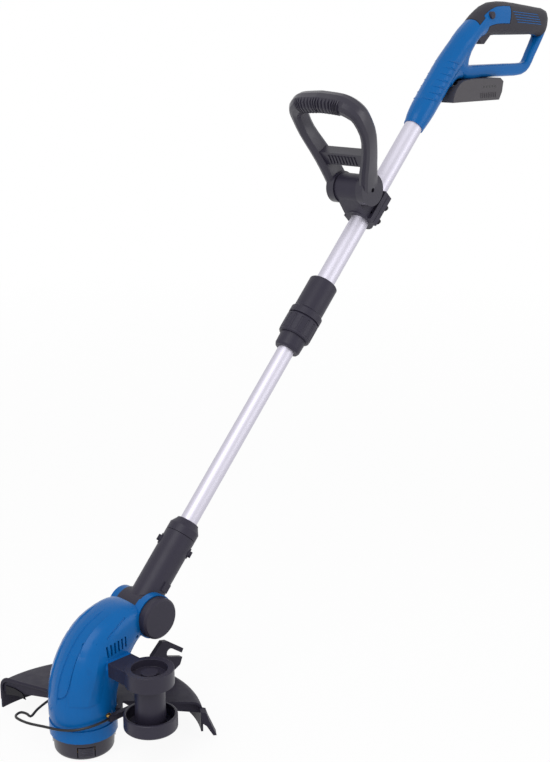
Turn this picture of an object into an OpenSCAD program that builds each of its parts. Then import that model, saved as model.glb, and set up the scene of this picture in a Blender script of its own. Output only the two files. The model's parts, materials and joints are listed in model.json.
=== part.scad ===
// Cordless telescopic line trimmer with a tilting head, an edge wheel and a slide-on battery.
// Millimetres. Origin on the spool axis at the cap's underside, +Z up, +X towards the user.

/* [Stance] */
// Angle of the shaft above the ground
shaft_angle = 47; // [43:1:51]
// Distance of the tilt pivot behind the spool axis
pivot_x = 88; // [84:1:94]
// Height of the tilt pivot above the ground
pivot_z = 146; // [142:1:152]

/* [Tubes] */
// Outer diameter of the upper tube
upper_d = 25; // [24:0.5:26]
// Wall of both tubes
tube_wall = 1.2; // [1:0.1:1.6]
// Radial gap between the two tubes
tube_gap = 0.3; // [0.2:0.05:0.4]
// Lower tube that shows between the ferrule and the twist nut
lower_show = 254; // [240:1:300]
// Upper tube that shows between the collar and the rear handle
upper_show = 260; // [250:1:320]
// Length of lower tube inside the upper tube when drawn out
tube_overlap = 150; // [120:1:180]

/* [Telescopic clamp] */
// Length of the twist nut
nut_len = 47; // [42:1:55]
// Outer radius of the twist nut
nut_r = 21.7; // [21:0.1:23]
// Outer radius of the nut's lower lip
nut_lip_r = 15.6; // [15:0.1:17]
// Number of grip flutes round the nut
nut_flutes = 14; // [8:1:18]
// Length of the collar above the nut
collar_len = 57; // [50:1:65]
// Outer radius of the collar
collar_r = 19.5; // [18.5:0.1:21]

/* [Head joint] */
// Length of the swivel socket from the pivot to its seam
socket_len = 101.6; // [95:0.1:110]
// Outer radius of the swivel socket
socket_r = 19.5; // [19:0.1:20]
// Radius of the swivel spigot
spigot_r = 15; // [14.5:0.1:15.5]
// Length of the ferrule above the seam
ferrule_len = 19; // [16:1:24]
// Radius of the swivel buttons
button_r = 4; // [3.5:0.1:4.5]
// Radius of the tilt pin
pin_r = 4; // [3.5:0.1:4.5]
// Radius of the tilt button
tilt_r = 25; // [24:0.5:26]
// Outer face of the housing's lugs, from the middle
lug_y = 31; // [30:0.5:33]

/* [Motor head] */
// Radius of the spool cap
cap_r = 36.4; // [36:0.1:37]
// Height of the spool cap
cap_h = 24; // [22:0.5:26]
// Radius of the housing's skirt
skirt_r = 40; // [39.5:0.1:41]
// Wall of the motor housing
housing_wall = 2.6; // [2.2:0.1:3]
// Radius of the motor can
motor_r = 18; // [16:0.5:19]
// Length of the motor can
motor_len = 48; // [42:1:50]

/* [Guard] */
// Outer radius of the guard
guard_r = 141; // [138:1:150]
// Height of the guard's top above the ground
guard_top = 54; // [52:0.5:56]
// Height of the guard's skirt edge above the ground
guard_low = 5; // [3:0.5:9]
// Wall of the guard
guard_t = 2.6; // [2.2:0.1:3.2]
// Radius of the guard's rounded shoulder
guard_shoulder = 13; // [11:1:15]
// Fall of the guard's top from the housing to its shoulder
guard_drop = 9; // [6:0.5:11]
// Direction of the guard's near end, from +X
guard_from = -36; // [-36:1:-30]
// Direction of the guard's far end, from +X
guard_to = 98; // [90:1:100]
// Diameter of the plant guard's wire
wire_d = 3.2; // [2.8:0.1:3.6]

/* [Edge wheel] */
// Wheel axle ahead of the tilt pivot
wheel_ahead = 54; // [50:1:58]
// Wheel axle to the side of the middle
wheel_y = 81.5; // [80:0.5:86]
// Radius of the wheel
wheel_r = 31.4; // [29:0.1:32]
// Height of the wheel's underside above the ground
wheel_z = 43; // [41:0.5:46]
// Height of the wheel's rim
rim_h = 18; // [15:0.5:20]
// Height of the wheel with its hub
wheel_h = 55.6; // [52:0.1:58]
// Radius of the bracket's round end
bracket_r = 28.5; // [26:0.1:30]
// Height of the bracket's round end
bracket_h = 19; // [17:0.5:21]

/* [Front handle] */
// Middle of the clamp above the collar
clamp_at = 124; // [116:1:140]
// Length of the clamp along the tube
clamp_len = 45; // [42:1:52]
// Handle pivot above the tube's axis
hub_h = 40; // [38:0.5:44]
// Radius of the handle's hubs
hub_r = 21; // [19:0.5:22]
// Reach of the grip from the handle pivot
grip_reach = 129.5; // [124:0.5:140]
// Half width of the grip
grip_half = 50; // [48:1:56]
// Lean of the handle from upright
grip_lean = 30; // [24:1:36]
// Number of ribs on the grip
grip_ribs = 17; // [11:2:19]

/* [Rear handle] */
// Shell radius round the tube
neck_r = 17.2; // [16.5:0.1:18]
// Length of the hand opening
opening_len = 150; // [142:1:156]
// Height of the hand opening
opening_h = 40; // [38:0.5:44]
// Height of the loop's lower bar
bar_h = 18; // [16:0.5:20]
// Height of the top grip at its front
top_h = 46; // [43:0.5:48]
// Thickness of the soft grip
soft_t = 2.2; // [1.8:0.1:2.6]
// Width of the trigger
trigger_w = 14; // [12:0.5:15]
// Radius of the lock-off button
lock_r = 5; // [4:0.1:5.5]

/* [Battery] */
// How far the battery reaches behind the opening's front corner
battery_back = 72; // [68:0.5:76]
// Width of the battery
battery_w = 40; // [40:0.5:46]
// Height of the battery
battery_h = 30.5; // [30:0.5:36]
// Width of the rail's foot
rail_w = 26; // [24:0.5:28]
// Radius of a battery cell
cell_r = 9; // [8.5:0.05:9]

/* [Fits] */
// Radial clearance of running fits
run_gap = 0.08; // [0.04:0.01:0.1]
// Clearance between sliding faces
slide_gap = 0.4; // [0.3:0.05:0.5]
// Clearance of pieces fixed together
seat_gap = 0.04; // [0.02:0.01:0.06]

/* [Hidden] */
$fn = 64;
BLUE = "#1B62B4";
BLACK = "#3A383E";
GREY = "#55535A";
SILVER = "#C9C9CF";
STEEL = "#9A9CA0";
BRASS = "#B89A4E";

// Stations along the shaft, measured from the tilt pivot
lower_r = upper_d / 2 - tube_wall - tube_gap;
seam_s = socket_len + slide_gap;
ferrule_s = seam_s + ferrule_len;
nut_s = ferrule_s + lower_show;
collar_s = nut_s + nut_len + slide_gap;
upper_s = collar_s + collar_len;
shell_s = upper_s + upper_show;
tube_in_shell = 60;
clamp_s = upper_s + clamp_at;
spigot_len = 42;
collet_h = 8.5;
nose_r = 16.8;
nose_len = 27;
pivot = [pivot_x, pivot_z];

// A point in the XZ plane, s along the shaft and h above its axis
function shaft_pt(s, h = 0) = [
    pivot_x + s * cos(shaft_angle) - h * sin(shaft_angle),
    pivot_z + s * sin(shaft_angle) + h * cos(shaft_angle)
];

// Local Z runs up the shaft and local X points to its underside
module on_shaft(s = 0) {
    translate([pivot_x, 0, pivot_z]) rotate([0, 90 - shaft_angle, 0]) translate([0, 0, s]) children();
}

// A side outline in X and Z, given thickness from y0 to y1
module side(y0, y1) {
    translate([0, y1, 0]) rotate([90, 0, 0]) linear_extrude(y1 - y0) children();
}

// A round bar along Y through a point of the XZ plane
module bar_y(p, r, y0, y1) {
    translate([p[0], y0, p[1]]) rotate([-90, 0, 0]) cylinder(r = r, h = y1 - y0);
}

// A revolved ring on Z
module ring(r_in, r_out, z0, z1) {
    translate([0, 0, z0]) difference() {
        cylinder(r = r_out, h = z1 - z0);
        translate([0, 0, -1]) cylinder(r = r_in, h = z1 - z0 + 2);
    }
}

// Free-form pieces joined into one moulding
module moulded() {
    resize([0, 0, 0]) union() children();
}

// A smooth curve through rows of numbers, t counted in rows
function smooth(rows, t) =
    let (
        last = len(rows) - 1,
        i = min(floor(t), last - 1),
        f = t - i,
        a = rows[max(i - 1, 0)],
        b = rows[i],
        c = rows[i + 1],
        d = rows[min(i + 2, last)]
    )
    b + 0.5 * f * (c - a + f * (2 * a - 5 * b + 4 * c - d + f * (3 * (b - c) + d - a)));

// The same curve through rows that run round a loop
function smooth_loop(rows, t) =
    let (
        n = len(rows),
        i = floor(t),
        f = t - i,
        a = rows[(i + n - 1) % n],
        b = rows[i % n],
        c = rows[(i + 1) % n],
        d = rows[(i + 2) % n]
    )
    b + 0.5 * f * (c - a + f * (2 * a - 5 * b + 4 * c - d + f * (3 * (b - c) + d - a)));

// A cosine or sine drawn out to a squarer section as n grows from 2
function square_off(v, n) = sign(v) * pow(abs(v), 2 / n);

// A skin over rings of points, with end faces unless the rings close on each other
module skin(rings, closed = false) {
    n = len(rings[0]);
    m = len(rings);
    spans = closed ? m : m - 1;
    sides = [
        for (j = [0:spans - 1], i = [0:n - 1])
            let (
                a = j * n + i,
                b = j * n + (i + 1) % n,
                c = (j + 1) % m * n + (i + 1) % n,
                d = (j + 1) % m * n + i
            )
            each [[a, b, c], [a, c, d]]
    ];
    ends = closed ? [] : [[for (i = [n - 1:-1:0]) i], [for (i = [0:n - 1]) (m - 1) * n + i]];
    polyhedron([for (r = rings) each r], concat(sides, ends));
}

// A bent wire or coil: rings of given sides square to a route of points
function cross_z(v) = [-v[1], v[0], 0] / norm([v[0], v[1], 1e-9]);
function wire_rings(route, r, n) = [
    for (i = [0:len(route) - 1])
        let (
            along = route[min(i + 1, len(route) - 1)] - route[max(i - 1, 0)],
            t = along / norm(along),
            u = cross_z(t),
            v = cross(t, u)
        )
        [for (k = [0:n - 1]) route[i] + r * (cos(360 * k / n) * u - sin(360 * k / n) * v)]
];

// Arc points about a centre
function arc(c, r, a0, a1, steps) = [
    for (i = [0:steps]) let (a = a0 + (a1 - a0) * i / steps) c + r * [cos(a), sin(a)]
];

// Rear handle and its shaft end

// The hand opening's front lower corner, behind the tube's end
opening = shaft_pt(shell_s + 130, -24.3);
bar_z = opening[1] - bar_h;
opening_top = opening[1] + opening_h;
opening_end = opening[0] + opening_len;
neck_s0 = shell_s + 12;
// Places of the trigger and the lock-off button in the hood
trigger_pivot = opening + [58.5, opening_h + 6];
lock_at = opening + [41.5, opening_h + 27];
trigger_pull = 12;

// Rows round the loop: outer x and z, inner x and z, half width, squareness
loop_rows = [
    [opening[0] - 4, bar_z - 1, opening[0] + 8, opening[1], 10.5, 3],
    [opening[0] + 34, bar_z, opening[0] + 34, opening[1], 9.5, 3],
    [opening[0] + 0.66 * opening_len, bar_z, opening[0] + 0.66 * opening_len, opening[1], 8, 3.2],
    [opening_end - 12, bar_z + 1, opening_end - 12, opening[1], 7.5, 3.2],
    [opening_end + 7, bar_z + 10, opening_end, opening[1] + 3, 7.5, 3],
    [opening_end + 20, opening[1] + 9, opening_end + 9, opening[1] + 16, 7.5, 3],
    [opening_end + 36, opening[1] + 33, opening_end + 24, opening[1] + 35, 9, 2.8],
    [opening_end + 45, opening_top + 18, opening_end + 27, opening_top - 3, 12, 2.5],
    [opening_end + 40, opening_top + top_h - 11, opening_end + 16, opening_top, 15, 2.5],
    [opening_end + 16, opening_top + top_h - 7, opening_end - 2, opening_top, 16, 2.4],
    [opening_end - 24, opening_top + top_h - 3, opening_end - 35, opening_top, 16.5, 2.4],
    [opening_end - 59, opening_top + top_h, opening_end - 66, opening_top, 17, 2.4],
    [opening[0] + 57, opening_top + top_h - 1, opening[0] + 54, opening_top, 17.2, 2.4],
    [opening[0] + 35, opening_top + top_h - 10, opening[0] + 32, opening_top - 3, 17.2, 2.3],
    [opening[0] + 15, opening_top + 22, opening[0] + 19, opening_top - 10, neck_r, 2.2],
    [opening[0] - 14, opening[1] + 42, opening[0] + 5, opening[1] + 13, neck_r, 2.1],
    [opening[0] - 39, opening[1] + 10, opening[0] + 6, opening[1] + 1, neck_r - 4, 2.4]
];
grip_from = 6.7;
grip_full = 11;
strip_to = 12.8;
grip_panel = 13.3;
grip_to = 14;
strip_turn = 106;

function wrap_of(t) = t < grip_full ? 172 : t < grip_panel ? 46 : 62;
function in_grip(t) = t >= grip_from && t <= grip_to;

// One point of the loop's section, th from the outer edge round one side to the inner edge
function loop_point(t, th, side_sign, inset) =
    let (
        q = smooth_loop(loop_rows, t),
        outer = [q[0], q[1]],
        inner = [q[2], q[3]],
        mid = (outer + inner) / 2,
        half = (outer - inner) / 2,
        reach = (norm(half) - inset) / norm(half),
        at = mid + half * reach * square_off(cos(th), q[5])
    )
    [at[0], side_sign * (q[4] - inset) * square_off(sin(th), q[5]), at[1]];

loop_angles = [0, 15, 30, 46, 48, 62, 64, 77, 90, 104, strip_turn, 120, 136, 153, 172, 174, 180];
loop_steps = [for (i = [0:len(loop_rows) - 1]) each [i, i + 0.5]];
grip_edge = 0.02;
soft_gap = 0.15;

// Stations round the loop, doubled where the soft grip starts and ends
loop_stations = [
    each [for (t = loop_steps) if (t < grip_from - grip_edge) t],
    grip_from - grip_edge,
    grip_from + grip_edge,
    each [for (t = loop_steps) if (t > grip_from + grip_edge && t < grip_full - grip_edge) t],
    grip_full - grip_edge,
    grip_full + grip_edge,
    each [for (t = loop_steps) if (t > grip_full + grip_edge && t < strip_to - grip_edge) t],
    strip_to - grip_edge,
    strip_to + grip_edge,
    each [for (t = loop_steps) if (t > strip_to + grip_edge && t < grip_panel - grip_edge) t],
    grip_panel - grip_edge,
    grip_panel + grip_edge,
    each [for (t = loop_steps) if (t > grip_panel + grip_edge && t < grip_to - grip_edge) t],
    grip_to - grip_edge,
    grip_to + grip_edge,
    each [for (t = loop_steps) if (t > grip_to + grip_edge) t]
];

function in_strip(t, th) = t > grip_full && t < strip_to && th > strip_turn - 1 && th < 173;
function soft_inset(t, th) = in_grip(t) && (th < wrap_of(t) + 1 || in_strip(t, th)) ? soft_t : 0;

module loop_half(side_sign) {
    skin([
        for (t = loop_stations)
            let (
                r = [for (th = loop_angles) loop_point(t, th, side_sign, soft_inset(t, th))]
            )
            side_sign > 0 ? [for (i = [len(r) - 1:-1:0]) r[i]] : r
    ], closed = true);
}

// The round neck that holds the tube, from its thin front end to the loop
neck_h = 1.5;
neck_rows = [
    [shell_s, 0, upper_d / 2 + 1.6],
    [shell_s + 6, 0.3, upper_d / 2 + 2.4],
    [neck_s0, 0.8, neck_r - 1.4],
    [shell_s + 30, 1.2, neck_r],
    [shell_s + 70, neck_h, neck_r + 0.2],
    [shell_s + 110, neck_h, neck_r + 0.2],
    [shell_s + 150, -2, neck_r - 0.6]
];

module neck_half(side_sign) {
    rings = [
        for (t = [0:0.5:len(neck_rows) - 1])
            let (
                q = smooth(neck_rows, t),
                r = [
                    for (a = [0:15:180])
                        let (p = shaft_pt(q[0], q[1] + q[2] * cos(a)))
                        [p[0], side_sign * q[2] * sin(a), p[1]]
                ]
            )
            side_sign > 0 ? r : [for (i = [len(r) - 1:-1:0]) r[i]]
    ];
    skin(rings);
}

// Raised ribs across the top of the neck
neck_ribs = 7;
neck_rib_step = 11;
module neck_rib(i) {
    on_shaft(shell_s + 44 + i * neck_rib_step) translate([-1.5, 0, 0])
        rotate([0, -28, 0]) rotate([0, 0, 90]) rotate_extrude(angle = 180, $fn = 24)
            translate([neck_r + 0.4, 0]) circle(r = 1.7, $fn = 4);
}

// The fillet under the neck that turns into the lower bar
web_r = 33;
web_swell = 7;
web_c = let (z = bar_z - web_r, h = neck_h - neck_r - web_r)
    [pivot_x + ((z - pivot_z) * cos(shaft_angle) - h) / sin(shaft_angle), z];
module web_half(side_sign) {
    skin([
        for (f = [0:0.2:1])
            let (
                dir = [cos(84 + (shaft_angle + 6) * f), sin(84 + (shaft_angle + 6) * f)],
                wide = 9.6 + 6.4 * f,
                deep = bar_h / 2 - 0.6 + web_swell * f,
                r = [
                    for (th = [0:15:180])
                        let (at = web_c + (web_r + deep * (1 - square_off(cos(th), 3.4))) * dir)
                        [at[0], side_sign * wide * square_off(sin(th), 3.4), at[1]]
                ]
            )
            side_sign > 0 ? r : [for (i = [len(r) - 1:-1:0]) r[i]]
    ]);
}

// Room for the trigger, open below
module trigger_slot() {
    p = trigger_pivot;
    side(-trigger_w / 2 - slide_gap, trigger_w / 2 + slide_gap) polygon([
        p + [8, -14], p + [8, 8], p + [-14, 12], p + [-40, 9], p + [-42, -8], p + [-36, -22], p + [-14, -22]
    ]);
}

module handle_cuts() {
    on_shaft(shell_s - 1) cylinder(r = upper_d / 2 + seat_gap, h = tube_in_shell + 1 + seat_gap);
    trigger_slot();
    trigger_pin_room();
    bar_y(lock_at, lock_r + run_gap, -40, 40);
    switch_block(seat_gap);
    // Flat seat for the battery rail
    translate([rail_front - 0.5, -rail_w / 2, bar_z - 12]) cube([rail_rear - rail_front + 1, rail_w, 12]);
    for (p = handle_screw_at) handle_screw(p, seat_gap);
}

module trigger_pin_room() {
    half = trigger_pin_half + seat_gap;
    bar_y(trigger_pivot, pin_small + seat_gap, -half, half);
}

pin_small = 2;
trigger_pin_half = 9.5;
switch_s = shell_s + 168;
module switch_block(grow) {
    on_shaft(switch_s) translate([-8 - grow, -5 - grow, -11 - grow]) cube([12, 10, 22] + grow * [2, 2, 2]);
}

handle_screw_at = [
    shaft_pt(shell_s + 84.7, -3.5),
    shaft_pt(shell_s + 132, 6),
    opening + [0.5 * opening_len, -bar_h / 2],
    opening + [opening_len + 12, 8],
    opening + [0.62 * opening_len, opening_h + top_h / 2]
];
screw_r = 1.75;
screw_head_r = 3.4;
screw_head_h = 2.4;
handle_screw_half = 5;

// A screw along Y, with its head on the far side
module handle_screw(p, grow) {
    bar_y(p, screw_r + grow, -handle_screw_half - grow, handle_screw_half);
    bar_y(p, screw_head_r + grow, handle_screw_half - screw_head_h - grow, handle_screw_half + grow);
}

module handle_half(side_sign) {
    difference() {
        moulded() {
            loop_half(side_sign);
            neck_half(side_sign);
            web_half(side_sign);
            intersection() {
                union() for (i = [0:neck_ribs - 1]) neck_rib(i);
                translate([0, side_sign > 0 ? 0 : -100, 0]) cube([1200, 100, 1200]);
            }
        }
        handle_cuts();
        if (side_sign > 0) for (p = handle_screw_at) bar_y(p, screw_head_r + 0.6, handle_screw_half - 1, 40);
    }
}

module handle_shell_left() { color(BLUE) handle_half(-1); }

module handle_shell_right() { color(BLUE) handle_half(1); }

// The soft grip's C-shaped section, outside then inside, on both sides of the middle
module soft_grip() {
    function stations(a, b) =
        [a, each [for (t = loop_steps) if (t > a + grip_edge && t < b - grip_edge) t], b];
    function c_ring(t, wrap) =
        let (angles = [for (th = loop_angles) if (th <= wrap) th])
        concat(
            [for (i = [len(angles) - 1:-1:1]) loop_point(t, angles[i], 1, 0)],
            [for (th = angles) loop_point(t, th, -1, 0)],
            [for (i = [len(angles) - 1:-1:1]) loop_point(t, angles[i], -1, soft_t - soft_gap)],
            [for (th = angles) loop_point(t, th, 1, soft_t - soft_gap)]
        );
    function strip_ring(t, s) =
        let (
            angles = [each [for (th = loop_angles) if (th >= strip_turn && th < 172) th], 170],
            rim = 0.05,
            r = concat(
                [for (th = angles) loop_point(t, th, s, rim)],
                [for (i = [len(angles) - 1:-1:0]) loop_point(t, angles[i], s, soft_t - soft_gap - rim)]
            )
        )
        s < 0 ? r : [for (i = [len(r) - 1:-1:0]) r[i]];
    color(BLACK) difference() {
        moulded() {
            skin([for (t = stations(grip_from + 4 * grip_edge, grip_full - grip_edge)) c_ring(t, 172)]);
            skin([for (t = stations(grip_full - 3 * grip_edge, grip_panel + 4 * grip_edge)) c_ring(t, 46)]);
            skin([for (t = stations(grip_panel + 2 * grip_edge, grip_to - 2 * grip_edge)) c_ring(t, 62)]);
            for (s = [-1, 1])
                skin([
                    for (t = stations(grip_full - 3 * grip_edge, strip_to - 2 * grip_edge)) strip_ring(t, s)
                ]);
        }
        trigger_slot();
        trigger_pin_room();
        for (p = handle_screw_at) bar_y(p, screw_head_r + 0.6, handle_screw_half - 1, 40);
        bar_y(lock_at, lock_r + slide_gap, -40, 40);
    }
}

module upper_tube() {
    color(SILVER) on_shaft()
        ring(upper_d / 2 - tube_wall, upper_d / 2, collar_s - 16, shell_s + tube_in_shell);
}

module trigger() {
    p = trigger_pivot;
    half = trigger_w / 2;
    color(BLACK) difference() {
        union() {
            side(-half, half) polygon([
                p + [3, -4.5], p + [-5, -6.5], p + [-19, -18], p + [-26, -18],
                p + [-33, -9], p + [-29, 0], p + [-15, 5], p + [0, 5]
            ]);
            bar_y(p, 6, -half, half);
        }
        bar_y(p, pin_small + run_gap, -trigger_w, trigger_w);
        // Room for the return spring round the pin
        bar_y(p, 4.6, -3.2, 3.2);
    }
}

module trigger_pin() {
    color(STEEL) bar_y(trigger_pivot, pin_small, -trigger_pin_half, trigger_pin_half);
}

// A short torsion coil round the trigger's pin
module trigger_spring() {
    turns = 3;
    wire_r = 0.5;
    coil_r = pin_small + wire_r + 0.4;
    route = [
        for (i = [0:turns * 12])
            [coil_r * cos(30 * i), coil_r * sin(30 * i), (i / 12 - turns / 2) * 1.5]
    ];
    color(STEEL) translate([trigger_pivot[0], 0, trigger_pivot[1]]) rotate([90, 0, 0])
        skin(wire_rings(route, wire_r, 5));
}

lock_half = 19.5;
module lock_off_button() {
    color(BLACK) bar_y(lock_at, lock_r, -lock_half, lock_half - 5);
}

module micro_switch() { color(BLACK) switch_block(0); }

module handle_screws() { color(STEEL) for (p = handle_screw_at) handle_screw(p, 0); }

// Battery, hung from a rail under the lower bar

battery_rear = opening[0] + battery_back;
battery_top = bar_z - slide_gap;
battery_low = battery_top - battery_h;
// Its front is an arc that nests under the fillet
nest_r = web_r - 1.2;
nest_c = web_c + [0.8, 0];
battery_front = nest_c[0] - nest_r;
battery_len = battery_rear - battery_front;
battery_split = battery_top - 14.5;
case_wall = 2;
lip_z = battery_top - 4;
rail_z = lip_z - slide_gap;
foot_h = 3;
channel_z = rail_z - foot_h - 1;
rail_front = opening[0] + 12;
rail_rear = battery_rear - 14;
rail_neck_w = rail_w - 6;
cell_len = 65;
cell_count = 2;
cell_z = battery_low + case_wall + cell_r + 0.2;
cell_step = 2 * cell_r + 0.3;
room_top = battery_low + case_wall + 2 * cell_r + 0.4;
room_front = battery_rear - 11 - cell_len;

module battery_rail() {
    color(BLACK) union() {
        translate([rail_front, -rail_neck_w / 2, rail_z - 1])
            cube([rail_rear - rail_front, rail_neck_w, bar_z - rail_z + 1 - seat_gap]);
        translate([rail_front, -rail_w / 2, rail_z - foot_h]) cube([rail_rear - rail_front, rail_w, foot_h]);
    }
}

contact_t = 0.5;
module battery_contacts() {
    color(BRASS) for (y = [-10, 0, 10])
        translate([rail_front + 3, y - 1.5, rail_z - foot_h - contact_t]) cube([20, 3, contact_t]);
}

// Side outline of the battery, with its rounded front and bevelled rear
module battery_outline() {
    low = battery_low - nest_c[1];
    polygon(concat(
        [[battery_rear - 9, battery_low], [battery_rear - 2.5, battery_low + 11]],
        [[battery_rear, battery_top - 5], [battery_rear - 8, battery_top], [nest_c[0] + 6, battery_top]],
        arc(nest_c, nest_r, 82, 180 - asin(low / nest_r), 9)
    ));
}

module battery_body() {
    rib_n = 9;
    rib_step = 4.4;
    difference() {
        union() {
            side(-battery_w / 2, battery_w / 2) battery_outline();
            for (i = [0:rib_n - 1], s = [-1, 1])
                translate([battery_rear - 18 - i * rib_step, s * battery_w / 2, battery_low + 4])
                    translate([-0.7, -0.8, 0]) cube([1.4, 1.6, 7]);
        }
        // Channel for the rail's foot, and its narrower mouth
        translate([battery_front - 1, -rail_w / 2 - slide_gap, channel_z])
            cube([rail_rear + slide_gap - battery_front + 1, rail_w + 2 * slide_gap, lip_z - channel_z]);
        translate([battery_front - 1, -rail_neck_w / 2 - slide_gap, channel_z])
            cube([rail_rear + slide_gap - battery_front + 1, rail_neck_w + 2 * slide_gap, battery_h]);
        // Room for the cells
        translate([room_front, -cell_count * cell_step / 2 - 0.1, battery_low + case_wall])
            cube([cell_len + 0.6, cell_count * cell_step + 0.2, room_top - battery_low - case_wall]);
        // Pockets for the latch and the charge indicator
        translate([battery_rear - latch_d - 4, -latch_w / 2 - slide_gap, latch_z - slide_gap])
            cube([latch_d + 5, latch_w + 2 * slide_gap, latch_h + 2 * slide_gap]);
        indicator(seat_gap);
    }
}

module battery_lower_case() {
    color(GREY) intersection() {
        battery_body();
        translate([battery_front - 5, -battery_w, battery_low - 5])
            cube([battery_len + 10, 2 * battery_w, battery_split - battery_low + 5]);
    }
}

module battery_upper_case() {
    color(GREY) intersection() {
        battery_body();
        translate([battery_front - 5, -battery_w, battery_split])
            cube([battery_len + 10, 2 * battery_w, battery_h]);
    }
}

module battery_cells() {
    color(STEEL) for (i = [0:cell_count - 1])
        translate([room_front + 0.3, (i - (cell_count - 1) / 2) * cell_step, cell_z])
            rotate([0, 90, 0]) cylinder(r = cell_r, h = cell_len);
}

latch_w = 24;
latch_h = 5;
latch_d = 9;
latch_z = channel_z + 0.2;
module battery_latch() {
    color(BLACK) translate([battery_rear - latch_d, -latch_w / 2, latch_z]) union() {
        cube([latch_d + 1.2, latch_w, latch_h]);
        for (i = [0:4]) translate([latch_d + 1.2, 4 + 4 * i - 0.6, 0]) cube([0.5, 1.2, latch_h]);
    }
}

// Charge indicator: a row of windows in the battery's near side
module indicator(grow) {
    for (i = [0:4])
        translate([battery_rear - 48.5 + i * 6.8 - grow, -battery_w / 2 - 0.1, battery_split + 2 - grow])
            cube([3 + 2 * grow, 0.9 + grow, 2.4 + 2 * grow]);
}

module charge_indicator() { color(BLACK) indicator(0); }

// Front handle

hub = shaft_pt(clamp_s + 1.4, hub_h - 1.4);
clamp_ear_y = 23;
clamp_t = 6.5;
barrel_r = hub_r - 2;
barrel_half = 18.5;
clamp_screw_y = 18;
clamp_screw_step = 22;
hub_out = 31;
bolt_r = 3;
bolt_half = 26;

// Half of the clamp's section round the tube, side is 1 above it and -1 below
module clamp_half(dir) {
    edge = tube_gap;
    on_shaft(clamp_s - clamp_len / 2) difference() {
        union() {
            cylinder(r = upper_d / 2 + clamp_t, h = clamp_len);
            translate([-8, -clamp_ear_y, 0]) cube([16, 2 * clamp_ear_y, clamp_len]);
        }
        translate([0, 0, -1]) cylinder(r = upper_d / 2 + seat_gap, h = clamp_len + 2);
        translate([dir > 0 ? -edge : -60, -60, -1]) cube([60 + edge, 120, clamp_len + 2]);
        clamp_screw_holes(screw_r + 0.25, -30);
        clamp_screw_holes(screw_head_r + 1.2, 8);
    }
}

module clamp_screw_holes(r, from) {
    for (y = [-clamp_screw_y, clamp_screw_y], s = [-0.5, 0.5])
        translate([from, y, clamp_len / 2 - 2 + s * clamp_screw_step]) rotate([0, 90, 0])
            cylinder(r = r, h = 60);
}

module clamp_upper() {
    color(BLACK) difference() {
        union() {
            clamp_half(1);
            difference() {
                side(-barrel_half, barrel_half) union() {
                    translate(hub) circle(r = barrel_r);
                    polygon([
                        shaft_pt(clamp_s - clamp_len / 2, 2), shaft_pt(clamp_s + clamp_len / 2, 2),
                        shaft_pt(clamp_s + clamp_len / 2, 14), hub + barrel_r * [cos(-10), sin(-10)],
                        hub, hub + barrel_r * [cos(200), sin(200)], shaft_pt(clamp_s - clamp_len / 2, 14)
                    ]);
                }
                on_shaft(clamp_s - clamp_len) cylinder(r = upper_d / 2 + seat_gap, h = 2 * clamp_len);
            }
        }
        bar_y(hub, bolt_r + seat_gap, -40, 40);
        on_shaft(clamp_s - clamp_len / 2) clamp_screw_holes(screw_r + 0.25, -9);
        // Clearance for the handle's hubs
        for (s = [-1, 1])
            bar_y(hub, hub_r + slide_gap + 0.2, s > 0 ? barrel_half : -60, s > 0 ? 60 : -barrel_half);
    }
}

module clamp_lower() { color(BLACK) clamp_half(-1); }

module clamp_screws() {
    head_h = 5;
    color(STEEL) on_shaft(clamp_s - clamp_len / 2)
        for (y = [-clamp_screw_y, clamp_screw_y], s = [-0.5, 0.5])
            translate([-5, y, clamp_len / 2 - 2 + s * clamp_screw_step]) rotate([0, 90, 0]) union() {
                cylinder(r = screw_r, h = 13 + seat_gap);
                translate([0, 0, 13 + seat_gap]) cylinder(r = screw_head_r + 0.8, h = head_h);
            }
}

module handle_pivot_bolt() { color(STEEL) bar_y(hub, bolt_r, -bolt_half, bolt_half); }

// Rows up one arm and along the grip: y, reach, half thickness in the loop's plane, half depth,
// squareness, bow to the rear
arm_rows = [
    [25, 0, 6, 17, 3, 0],
    [31.5, 26, 7.4, 15.5, 3, 3],
    [42, 52, 7, 13.5, 2.8, 5.5],
    [grip_half + 2, 0.63 * grip_reach, 7, 12.4, 2.6, 6],
    [grip_half + 2, 0.82 * grip_reach, 8.6, 12.6, 2.5, 4.5],
    [grip_half - 2, grip_reach - 12, 11, 13, 2.4, 2.5],
    [grip_half - 12, grip_reach - 3.5, 12.4, 13.4, 2.3, 1],
    [grip_half - 24, grip_reach, 12.8, 13.6, 2.2, 0],
    [0, grip_reach + 2, 12.8, 13.8, 2.2, 0]
];
arm_angles = [for (i = [0:11]) i * 30];
rib_from = 6.4;

// The loop runs up the near arm, along the grip and down the far arm
function arm_row(t) =
    let (last = len(arm_rows) - 1, u = t <= last ? t : 2 * last - t, q = smooth(arm_rows, u))
    t <= last ? [-q[0], q[1], q[2], q[3], q[4], q[5]] : q;
last_row = len(arm_rows) - 1;
rib_span = 2 * (last_row - rib_from);
arm_stations = [
    each [for (t = [0:0.4:rib_from - 0.2]) t],
    each [
        for (i = [0:grip_ribs - 1], f = [0.08, 0.34, 0.66, 0.92]) rib_from + rib_span * (i + f) / grip_ribs
    ],
    each [for (t = [2 * last_row - rib_from + 0.2:0.4:2 * last_row]) t]
];
function rib_swell(t) =
    let (f = (t - rib_from) / rib_span * grip_ribs, g = f - floor(f))
    f <= 0 || f >= grip_ribs ? 0 : g > 0.2 && g < 0.8 ? 1.1 : -1.3;

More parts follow.
